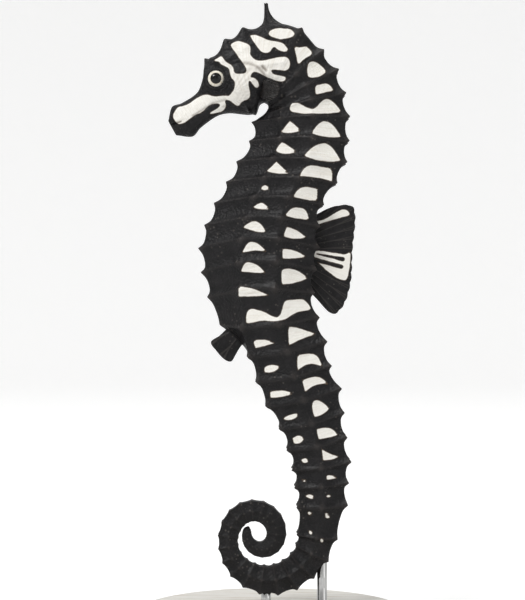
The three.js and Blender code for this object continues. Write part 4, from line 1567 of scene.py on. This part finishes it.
@dataclass(frozen=True)
class Skin:
    """One skin over head, trunk and tail.

    density is the number of rows to a ring between two ring coordinates, and around the number
    of columns between ridges. bow is how far the rings bow on the flank. A cap's rows are the
    size and the outward shift of rings that close an end.
    """

    form: BodyForm
    head: HeadDetail
    markings: Markings = Markings()
    density: tuple[tuple[float, float, int], ...] = (
        (-12.0, -11.0, 22), (-11.0, -9.0, 12), (-9.0, -8.0, 14), (-8.0, -5.4, 26), (-5.4, -2.6, 18),
        (-2.6, 24.0, 12), (24.0, 34.0, 8), (34.0, 50.0, 5),
    )
    around: tuple[int, ...] = (11, 26, 24, 14)
    crowding: float = 0.42
    ridge_crowding: float = 0.35
    calm_from: float = -2.9
    bow: Rows = (
        (1, 0.1), (4, 0.15), (6, 0.35), (8, 0.45), (9, 0.42), (10, 0.2), (11, -0.15), (12, -0.25),
        (16, -0.25), (20, -0.1), (24, 0),
    )
    mouth_cap: Rows = ((0.9, 0.14), (0.66, 0.16), (0.4, 0.02), (0.22, -0.35), (0.0, -0.7))
    tip_cap: Rows = ((0.87, 0.12), (0.5, 0.2), (0.0, 0.24))
    map_strips: int = 2
    map_margins: Point2 = (0.005, 0.01)

    def stations(self) -> Array:
        """Ring coordinates of the rows, closer together at the crests of the rings.

        Returns:
            The coordinates, from the mouth to the tip.
        """
        runs = [np.linspace(a, b, round((b - a) * per), endpoint=False) for a, b, per in self.density]
        even = np.concatenate([*runs, [TAIL_TIP]])
        return np.where(even > self.form.first_ring, crowd(even, self.crowding), even)

    def half_round(self) -> Array:
        """Ridge coordinates from back to belly, closer together at the ridges."""
        runs = [k + np.arange(count) / count for k, count in enumerate(self.around)]
        return crowd(np.concatenate([*runs, [float(len(runs))]]), self.ridge_crowding)

    def half(self) -> tuple[Array, dict[str, Array]]:
        """Points of the right half and the values kept on them.

        A point is the section's dorsal point, moved towards the belly by the depth share and
        the relief, and sideways by the width share and the relief. Relief shrinks where rings
        crowd together, and its rings bow along the flank by a half sine of the ridge coordinate.

        Returns:
            Points of shape (n, m, 3), and the values pale, ridge, crease (painted shade in creases) and place
            of shape (n, m, ...).
        """
        rings, ridges = self.stations(), self.half_round()
        u, v = rings[:, None], ridges[None, :]
        back_x, back_z, belly_x, belly_z, half_width = self.form.sections(rings).T[..., None]
        deep = np.hypot(belly_x - back_x, belly_z - back_z)
        down_x, down_z = (belly_x - back_x) / deep, (belly_z - back_z) / deep
        share, wide = self.form.half_section(rings, ridges)
        plain_x, plain_z = back_x + down_x * share * deep, back_z + down_z * share * deep
        spacing = np.hypot(np.gradient(plain_x, rings, axis=0), np.gradient(plain_z, rings, axis=0))
        ringed = u + along_table(self.bow, u) * np.sin(math.pi * np.clip(v - 1, 0, 3) / 3)
        height, ridge = self.form.relief(ringed, v)
        height = height * np.where(u > self.calm_from, np.clip(spacing / self.form.full_spacing, 0, 1), 1)
        angle = v * math.pi / 4
        into = share * deep - np.cos(angle) * height
        x, z = back_x + down_x * into, back_z + down_z * into
        plain_y = wide * half_width + np.sin(angle) * height
        # the second value is the painted shade in the head's creases
        y, crease = self.head.apply(x, z, plain_y, np.clip(wide, 0, 1))
        y[:, 0] = y[:, -1] = 0
        pale = self.markings.depth(self.form, x, z)
        place = np.stack([ringed, np.broadcast_to(v, x.shape), np.zeros_like(x)], -1)
        return np.stack([x, y, z], -1), {"pale": pale, "ridge": ridge, "crease": crease, "place": place}

    def cap(self, ring: Array, inner: Array, rows: Rows) -> tuple[Array, Array]:
        """Rings that close an end: the end ring shrunk about its middle and moved outwards.

        Args:
            ring: The end ring, shape (columns, 3).
            inner: The ring next to it.
            rows: Size and outward shift of each ring, the last of size 0.

        Returns:
            The rings, shape (rows, columns, 3), and the pole beyond them.
        """
        middle = ring.mean(0)
        outward = middle - inner.mean(0)
        outward = outward / np.linalg.norm(outward)
        made = np.stack([middle + (ring - middle) * size + outward * out for size, out in rows])
        return made[:-1], made[-1, 0]

    def surface(self) -> Surface:
        """The whole skin: both halves joined round, with a cap and a pole at each end.

        Returns:
            The closed surface, with its values and its map.
        """
        half, values = self.half()
        body = round_whole(half)
        body[:, half.shape[1]:, 1] *= -1
        front, front_pole = self.cap(body[0], body[1], self.mouth_cap)
        rear, rear_pole = self.cap(body[-1], body[-2], self.tip_cap)
        grid = np.concatenate([front[::-1], body, rear])
        kept = {}
        for key, part in values.items():
            padding = [(len(front), len(rear))] + [(0, 0)] * (part.ndim - 1)
            padded = np.pad(round_whole(part), padding, mode="edge")
            flat = padded.reshape(-1, *part.shape[2:])
            kept[key] = np.concatenate([flat, flat[:1], flat[-1:]])
        made = closed_tube(grid, front_pole, rear_pole, kept)
        made.corners = self.strips(made, grid)
        return made

    def strips(self, made: Surface, grid: Array) -> Array:
        """Map places of all corners: the skin slit along the back and laid out in strips.

        A row's place along the strips is the running sum of the distance between rows times the
        root of the girth, and a column's is its share of the way round. A corner on the slit
        belongs to the far edge where its face ends there, and a pole lies in line with its face.

        Args:
            made: The surface.
            grid: Its rows, shape (rows, columns, 3).

        Returns:
            Places in the unit square, shape (corners, 2).
        """
        rows, columns = grid.shape[:2]
        girth = np.linalg.norm(np.roll(grid, 1, axis=1) - grid, axis=2).sum(1)
        gaps = np.linalg.norm(np.diff(grid.mean(1), axis=0), axis=1) * np.sqrt((girth[1:] + girth[:-1]) / 2)
        run = np.concatenate([[0], np.cumsum(gaps)]) / gaps.sum() * self.map_strips
        end_margin, side_margin = self.map_margins
        placed = []
        for faces in (made.quads, made.triangles):
            row, column = np.divmod(faces, columns)
            pole = faces >= rows * columns
            row = np.where(pole, np.where(faces > rows * columns, rows - 1, 0), row)
            column = np.where(pole, column.max(1, keepdims=True, where=~pole, initial=0), column)
            past = (column == 0) & (column.max(1, keepdims=True) == columns - 1) & ~pole
            column = np.where(past, columns, column)
            along = run[row]
            strip = np.minimum(np.floor(along.min(1, keepdims=True)), self.map_strips - 1)
            across = (strip + inset(column / columns, side_margin)) / self.map_strips
            placed.append(np.stack([inset(along - strip, end_margin), across], -1).reshape(-1, 2))
        return np.vstack(placed)

    def build(self, finish: Material) -> Piece:
        """Builds the skin and hides the flesh nodes it stands for.

        Args:
            finish: Its material.

        Returns:
            The skin.
        """
        piece = self.surface().to_object("skin", finish, "skin")
        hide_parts(*FLESH)
        return piece


# ---------- fins


@dataclass(frozen=True)
class RayedSheet:
    """Thickness and edge of a fin's sheet with its rays."""

    rays: int
    rows: int = 30
    steps: int = 12
    membrane: float = 0.09
    ray: float = 0.2
    ray_width: float = 0.11
    ray_narrowing: float = 0.03
    ray_shade: float = 0.8
    thinning: float = 0.72
    joints: int = 16
    joint_height: float = 0.12
    joints_from: Point2 = (0.15, 0.4)
    notch: float = 0.022
    notch_from: float = 0.6
    fork: float = 0.13
    fork_from: float = 0.5

    def grid(self) -> tuple[Array, Array]:
        """Shares across the fan, shape (1, m), and from root to edge, shape (n, 1)."""
        columns = (self.rays - 1) * self.steps + 1
        return np.linspace(0, 1, columns)[None, :], np.linspace(0, 1, self.rows)[:, None]

    def off_ray(self, share: Array) -> Array:
        """Distance across the fan from the nearest ray, in ray spacings, from 0 to 0.5."""
        place = share * (self.rays - 1)
        return np.abs(place - np.round(place))

    def ray_line(self, share: Array, out: Array) -> Array:
        """How near a place is to a ray, from 0 to 1, with each ray forked towards the edge."""
        split = self.fork * ease(self.fork_from, 1.0, out)
        return bell(self.off_ray(share) - split, self.ray_width - self.ray_narrowing * out)

    def reach(self, share: Array, out: Array) -> Array:
        """Reach of the sheet, notched between rays by the power 1.5 of the distance from one."""
        notch = self.notch * (2 * self.off_ray(share)) ** 1.5
        return out * (1 - notch * ease(self.notch_from, 1.0, out))

    def surface(self, x: Array, y: Array, z: Array, pale: Array, first: int = 1) -> Surface:
        """Closed sheet, thickened both ways along Y from its middle surface.

        Half the thickness is the membrane plus the rays, with a cosine for the rays' joints, and
        both thin towards the edge.

        Args:
            x: Places of the middle surface along X, shape (n, m).
            y: Places along Y, shape (n, m).
            z: Places along Z, shape (n, m).
            pale: Depth in the pale markings, shape (n, m).
            first: Sign of Y of the face that comes first.

        Returns:
            The sheet, with its values.
        """
        share, out = self.grid()
        ones = np.ones_like(x)
        line = self.ray_line(share, out)
        waves = np.cos(out * TURN * self.joints) * ease(*self.joints_from, out)
        jointed = 1 + self.joint_height * waves
        thick = first * (self.membrane + self.ray * line * jointed) * (1 - self.thinning * out)
        values = {
            "pale": pale,
            "ridge": line * self.ray_shade,
            "place": np.stack([share * self.rays * ones, out * ones, 0 * ones], -1),
        }
        return shell(np.stack([x, y + thick, z], -1), np.stack([x, y - thick, z], -1), values)


@dataclass(frozen=True)
class UprightFin:
    """A fin in the middle plane: a fan from a root line to a smooth margin."""

    name: str
    root: tuple[Point2, Point2]
    margin: tuple[Point2, ...]
    sheet: RayedSheet
    wave: float
    waves: float = 1.6
    wave_start: float = 0.6
    blots: tuple[Blot, ...] = ()
    dark_rays: tuple[Stroke, ...] = ()

    def build(self, finish: Material) -> Piece:
        """Builds the fan.

        A point is root + (margin - root) times its reach. The sheet waves sideways by a sine
        across the rays that grows with the square of the reach.

        Args:
            finish: Its material.

        Returns:
            The fin, which stands for its solid.
        """
        share, out = self.sheet.grid()
        top, bottom = np.array(self.root)
        root = top + (bottom - top) * share.T
        margin = smooth_run(self.margin, share.size)
        flat = root + (margin - root) * self.sheet.reach(share, out)[..., None]
        x, z = flat[..., 0], flat[..., 1]
        sway = self.wave * np.sin(share * TURN * self.waves + self.wave_start) * out**2
        pale = np.maximum.reduce([np.full(x.shape, UNMARKED)] + [blot.depth(x, z) for blot in self.blots])
        for ray in self.dark_rays:
            pale = np.minimum(pale, -ray.depth(x, z))
        piece = self.sheet.surface(x, sway, z, pale).to_object(self.name, finish, "fin")
        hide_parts(self.name)
        return piece


DORSAL_FIN = UprightFin(
    name="dorsal_fin",
    root=((9.4, 104.2), (8.2, 85.8)),
    margin=((11.0, 104.6), (15.2, 106.6), (19.8, 106.9), (20.9, 103.8), (20.2, 96.0), (19.8, 88.0),
            (18.0, 82.0), (14.9, 79.8), (10.4, 84.5)),
    sheet=RayedSheet(rays=19),
    wave=0.35,
    blots=(
        Blot(((10.4, 102.4), (11.2, 103.0), (13.0, 103.3), (15.1, 104.6), (16.6, 105.6), (18.5, 106.0),
              (19.5, 104.9), (19.3, 104.4), (16.7, 103.7), (13.9, 102.9), (10.9, 101.9))),
        Blot(((10.4, 95.5), (11.9, 95.6), (14.4, 95.2), (17.9, 94.6), (19.0, 94.9), (19.4, 95.4),
              (19.6, 95.0), (19.6, 92.4), (18.8, 88.2), (17.9, 88.1), (16.0, 88.7), (11.9, 92.1),
              (10.5, 93.9))),
    ),
    dark_rays=(
        Stroke((11.3, 94.75), (17.6, 93.5), 0.16, 0.5), Stroke((11.0, 93.3), (17.3, 91.55), 0.5, 0.5),
    ),
)
ANAL_FIN = UprightFin(
    name="anal_fin",
    root=((-10.0, 77.0), (-5.0, 73.5)),
    margin=((-11.6, 75.8), (-13.2, 74.3), (-15.3, 72.6), (-13.2, 69.6), (-10.4, 67.7), (-8.4, 71.0),
            (-6.4, 73.2)),
    sheet=RayedSheet(rays=5, steps=14),
    wave=0.12,
)


@dataclass(frozen=True)
class PectoralFin:
    """Fan behind the gill cover that stands off the neck, one on each side."""

    side: Side
    sheet: RayedSheet = RayedSheet(rays=16, rows=22, steps=8, membrane=0.07, ray=0.13, notch=0.05)
    x: float = -2.6
    y: float = 4.2
    z: float = 135.3
    root: float = 3.2
    spread: float = 5.8
    length: float = 4.9
    corner_cut: float = 0.6
    corner_power: float = 2.6
    root_back: float = 0.4
    rearward: float = 0.92
    outward: Point2 = (0.2, 0.04)
    sunk: float = 0.9
    sunk_share: float = 0.25
    gap: float = 0.3
    ripple: float = 0.12
    ripples: float = 2.5

    def build(self, finish: Material) -> Piece:
        """Builds the fan.

        With c the share across from -0.5 to 0.5, the reach is length times out times 1 less
        corner_cut times |2c| to corner_power. X starts root_back forward of its place and grows
        by rearward times the reach, Z falls by c times a width that opens from root to spread,
        and the fan stands off by the gap, a ripple, and outward times the reach and its square.

        Args:
            finish: Its material.

        Returns:
            The fin, which stands for its solid.
        """
        share, out = self.sheet.grid()
        across, sign = share - 0.5, self.side.value
        corners = 1 - self.corner_cut * np.abs(2 * across) ** self.corner_power
        reach = self.length * self.sheet.reach(share, out) * corners
        ripple = self.ripple * np.sin(share * TURN * self.ripples) * out**2
        sunk = self.sunk * (1 - ease(0, self.sunk_share, out))
        off = self.outward[0] * reach + self.outward[1] * reach**2
        y = sign * (self.y + off + ripple + self.gap - sunk)
        x = self.x - self.root_back * (1 - out) + reach * self.rearward
        z = self.z - across * (self.root + (self.spread - self.root) * out)
        name = self.side.name_for("pectoral_fin")
        sheet = self.sheet.surface(x, y, z, np.full(x.shape, UNMARKED), sign)
        piece = sheet.to_object(name, finish, "fin")
        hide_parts(name)
        return piece


# ---------- coronet and eyes


@dataclass(frozen=True)
class Flare:
    """How the coronet spreads one way from the line x, more towards its foot."""

    x: float
    spread: float
    height: float
    fall: float
    limit: float

    def reach(self, z: Array) -> Array:
        """Spread times the exponential of (height - z) / fall, up to the limit."""
        return np.minimum(self.spread * np.exp((self.height - z) / self.fall), self.limit)


@dataclass(frozen=True)
class Coronet:
    """Tall fluted crown spike with a small five-pointed tip."""

    foot: float = 149.6
    top: float = 157.32
    row_power: float = 1.2
    front: Flare = Flare(-2.0, 3.0, 150.8, 1.1, 2.6)
    back: Flare = Flare(-1.3, 3.9, 152.3, 1.8, 4.4)
    slim: float = 0.6
    widening: float = 0.25
    flutes: int = 5
    flute_depth: float = 0.16
    top_flute_depth: float = 0.30
    crown: RingFold = RingFold(0.0, 0.14, 0.35)
    points_height: float = 0.18
    points_from: float = 0.9
    foot_shade: float = 0.2
    top_shade: float = 0.8
    dish: float = 0.55
    dish_depths: Point2 = (0.12, 0.2)
    around: int = 80
    rows: int = 60

    def build(self, finish: Material) -> Piece:
        """Builds the spike.

        At height z it reaches forward and back by a flare that falls off exponentially with
        height, and its outline is an oval times one less a five-fold cosine ripple. The last
        rows flare out by a small crown and close over a dished top.

        Args:
            finish: Its material.

        Returns:
            The coronet, which stands for its solid.
        """
        t = np.linspace(0, 1, self.rows)[:, None]
        z = self.foot + (self.top - self.foot) * t**self.row_power
        front, back = self.front.x - self.front.reach(z), self.back.x + self.back.reach(z)
        middle, half = (front + back) / 2, (back - front) / 2
        angle = turns(self.around)
        star = 0.5 + 0.5 * np.cos(self.flutes * angle)
        fluting = self.flute_depth + (self.top_flute_depth - self.flute_depth) * t
        swell = (1 - fluting * (1 - star)) * (1 + self.crown.height * self.crown.line(self.top - z))
        x = middle + half * np.cos(angle) * swell
        y = half * self.slim * np.sin(angle) * swell * (1 + self.widening * t)
        z = z + star * self.points_height * ease(self.points_from, 1.0, t)
        rings = np.stack([x, y, z], -1)
        centre = rings.mean(1)
        lid, pole = (np.array([0, 0, depth]) for depth in self.dish_depths)
        dish = centre[-1] + (rings[-1:] - centre[-1]) * self.dish - lid
        made = closed_tube(np.concatenate([rings, dish]), centre[0], centre[-1] - pole)
        # the flutes' crests are lightened in the finish, more towards the top: a painted highlight
        shade = self.foot_shade + (self.top_shade - self.foot_shade) * t
        ridge = np.vstack([star * shade, star * self.top_shade]).ravel()
        made.values = {
            "pale": np.full(len(made.points), UNMARKED),
            "ridge": np.concatenate([ridge, [0, 0]]),
            "place": made.points[:, [2, 0, 1]] * (1, 1, 0),
        }
        piece = made.to_object("coronet", finish, "skin")
        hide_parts("coronet")
        return piece


@dataclass(frozen=True)
class Eye:
    """Eyeball with a low cornea, its axis along Y."""

    side: Side
    centre: Array
    radius: float
    cornea: float = 0.1
    cornea_spread: float = 0.55
    around: int = 96
    rows: int = 48

    @classmethod
    def packed(cls, side: Side) -> "Eye":
        """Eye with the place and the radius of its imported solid."""
        low, high = millimetres(side.name_for("eye"))
        return cls(side, (low + high) / 2, (high[0] - low[0]) / 2)

    def build(self, finish: Material) -> Piece:
        """Builds the ball.

        A point at polar angle a from the outward axis and turn b is the centre plus the radius
        times (sin a cos b, side cos a, sin a sin b), swollen by a bell round the axis.

        Args:
            finish: Its material.

        Returns:
            The eye, which stands for its solid.
        """
        sign, name = self.side.value, self.side.name_for("eye")
        polar = np.linspace(0, math.pi, self.rows + 2)[1:-1, None]
        turn = turns(self.around)
        radius = self.radius + self.cornea * bell(polar, self.cornea_spread)
        off = radius * np.sin(polar)
        y = sign * radius * np.cos(polar) * np.ones_like(turn)
        ball = np.stack([off * np.cos(turn), y, off * np.sin(turn)], -1)
        axis = np.array([0, sign, 0])
        made = closed_tube(ball, axis * (self.radius + self.cornea), -axis * self.radius)
        x, y, z = made.points.T
        off_axis = np.hypot(x, z)
        length = np.maximum(off_axis, 1e-3)
        made.values = {
            "off_axis": np.where(y * sign < 0, self.radius, off_axis),
            "around": np.stack([x / length, z / length, off_axis], -1),
        }
        made.points = made.points + self.centre
        piece = made.to_object(name, finish, "eye")
        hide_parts(name)
        return piece


# ---------- stand


@dataclass(frozen=True)
class Stand:
    """Round base with eased edges and two rods with small collars."""

    edge: float = 1.0
    edge_steps: int = 9
    chamfer: float = 0.6
    underside: float = 0.5
    top_rings: Point3 = (0.9, 0.6, 0.3)
    base_sides: int = 192
    rod_sides: int = 64
    rod_foot: float = 0.5
    rod_easing: float = 0.2
    collar_share: float = 1.9
    collar_wall: float = 0.55
    collar_height: float = 0.95
    fillet: float = 0.25
    sunk: float = 0.35

    def base(self, finish: Material) -> Piece:
        """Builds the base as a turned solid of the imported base's radius and height.

        Args:
            finish: Its material.

        Returns:
            The base, which stands for its solid.
        """
        low, high = millimetres("stand_base")
        radius, height = (high[0] - low[0]) / 2, high[2]
        turn = np.linspace(0, math.pi / 2, self.edge_steps)
        flat = np.array([radius, height]) - self.edge
        upper = flat + self.edge * np.stack([np.cos(turn), np.sin(turn)], -1)
        foot = [[radius * self.underside, 0], [radius - self.chamfer, 0], [radius, self.chamfer]]
        inner = [[radius * share, height] for share in self.top_rings]
        profile = np.vstack([[0, 0], foot, upper, inner, [0, height]])
        piece = lathe(profile, self.base_sides, (0.0, 0.0)).to_object("stand_base", finish, "stand_base")
        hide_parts("stand_base")
        return piece

    def rod(self, name: str, finish: Material) -> Piece:
        """Builds a rod with a collar at its foot, from the base into the underside of the tail.

        Args:
            name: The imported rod's name.
            finish: Its material.

        Returns:
            The rod, which stands for its solid.
        """
        low, high = millimetres(name)
        radius, middle, top = (high[0] - low[0]) / 2, (low + high) / 2, high[2] + self.sunk
        base_top = millimetres("stand_base")[1][2]
        collar, foot = radius * self.collar_share, base_top - self.rod_foot
        wall, neck = base_top + self.collar_wall, base_top + self.collar_height
        profile = np.array([
            [0, foot], [collar, foot], [collar, wall],
            [collar - self.rod_easing, wall + self.fillet], [radius + self.fillet, neck],
            [radius, neck + self.fillet], [radius, (base_top + top) / 2],
            [radius, top - self.rod_easing], [radius - self.rod_easing, top], [0, top],
        ])
        piece = lathe(profile, self.rod_sides, (middle[0], middle[1])).to_object(name, finish, "stand_rod")
        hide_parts(name)
        return piece


# ---------- studio


@dataclass(frozen=True)
class Lamp:
    """A square area light turned to the animal's middle."""

    name: str
    place: Point3
    size: float
    power: float


@dataclass(frozen=True)
class Studio:
    """Camera, lights and a pale bowl of floor."""

    look_x: float = -2.375
    look_z: float = 83.25
    distance: float = 450.0
    seen_height: float = 150.0
    sensor_height: float = 36.0
    clip: Point2 = (0.01, 20.0)
    hub_radius: float = 20.0
    floor_radius: float = 1300.0
    bowl_radius: float = 2800.0
    bowl_height: float = 2400.0
    flat_rows: int = 7
    curved_rows: int = 24
    around: int = 96
    lamps: tuple[Lamp, ...] = (
        Lamp("key", (-800, -900, 1200), 500, 13.0),
        Lamp("fill", (1100, -800, 400), 900, 2.0),
        Lamp("top", (100, 400, 1500), 800, 4.0),
    )
    room_light: float = 0.58

    def camera(self) -> None:
        """Sets the level camera on the left side; its lens shows seen_height at the middle plane."""
        data = bpy.data.cameras.new("camera")
        data.sensor_fit = "VERTICAL"
        data.sensor_height = self.sensor_height
        data.lens = data.sensor_height * self.distance / self.seen_height
        data.clip_start, data.clip_end = self.clip
        view = new_object("camera", data)
        view.location = (self.look_x * MM, -self.distance * MM, self.look_z * MM)
        view.rotation_euler = (math.pi / 2, 0, 0)
        bpy.context.scene.camera = view

    def bowl(self) -> None:
        """Builds the floor: a flat disc that curves up by a quarter of an ellipse."""
        flat = np.linspace(self.hub_radius, self.floor_radius, self.flat_rows, endpoint=False)
        curve = np.linspace(0, math.pi / 2, self.curved_rows)
        curved = self.floor_radius + (self.bowl_radius - self.floor_radius) * np.sin(curve)
        radius = np.concatenate([flat, curved])[:, None]
        height = np.concatenate([np.zeros(self.flat_rows), self.bowl_height * (1 - np.cos(curve))])[:, None]
        x, y = radius * np.cos(turns(self.around)), radius * np.sin(turns(self.around))
        points = np.stack([x, y, np.broadcast_to(height, x.shape)], -1).reshape(-1, 3)
        j = np.arange(self.around)
        hub = np.stack([np.full(self.around, len(points)), j, (j + 1) % self.around], -1)
        quads = grid_faces(len(radius), self.around, True)[:, ::-1]
        surface = Surface(np.vstack([points, np.zeros(3)]), quads, hub)
        floor = new_object("floor", surface.to_mesh("floor", FloorPaperFinish().make()))

    def light(self, lamp: Lamp) -> None:
        """Adds a lamp.

        Args:
            lamp: Its place and size in millimetres, and its power in watts.
        """
        data = bpy.data.lights.new(lamp.name, "AREA")
        data.size, data.energy = lamp.size * MM, lamp.power
        made = new_object(lamp.name, data)
        made.location = Vector(lamp.place) * MM
        aim = Vector((0, 0, self.look_z * MM)) - made.location
        made.rotation_euler = aim.to_track_quat("-Z", "Y").to_euler()

    def build(self) -> None:
        """Builds camera, floor, lamps and the soft light of the room."""
        self.camera()
        self.bowl()
        for lamp in self.lamps:
            self.light(lamp)
        world = bpy.data.worlds.new("room")
        world.use_nodes = True
        background = world.node_tree.nodes["Background"]
        background.inputs["Color"].default_value = (1, 1, 1, 1)
        background.inputs["Strength"].default_value = self.room_light
        bpy.context.scene.world = world
        bpy.context.scene.view_settings.view_transform = "Standard"
        log.info("studio: camera %.0f mm from the middle plane", self.distance)


# ---------- main


def main() -> None:
    """Builds the studio, the finishes and every piece in order."""
    logging.basicConfig(level=logging.INFO, format="%(name)s: %(message)s")
    Studio().build()
    grain, wear = hide_grain_group(), wear_group()
    hide, eye_finish = HideFinish("hide").make(grain), EyeFinish().make()
    fin_hide = FIN_HIDE.make(grain)
    clear_fin = CLEAR_FIN.make(grain)

    eyes = [Eye.packed(side) for side in Side]
    x, y, z = eyes[0].centre
    pieces = [Skin(BodyForm(), HeadDetail(x, z, abs(y), eyes[0].radius)).build(hide)]
    pieces += [eye.build(eye_finish) for eye in eyes]
    pieces += [Coronet().build(hide)]
    pieces += [fin.build(fin_hide) for fin in (DORSAL_FIN, ANAL_FIN)]
    pieces += [PectoralFin(side).build(clear_fin) for side in Side]

    stand, steel = Stand(), BrushedSteelFinish().make(wear)
    pieces += [stand.base(LimedWoodFinish().make(wear))]
    pieces += [stand.rod(name, steel) for name in ("stand_rod_front", "stand_rod_rear")]
    for piece in pieces:
        log.info("%s: %d vertices, %d faces", piece.name, len(piece.data.vertices), len(piece.data.polygons))


if __name__ == "__main__":
    main()
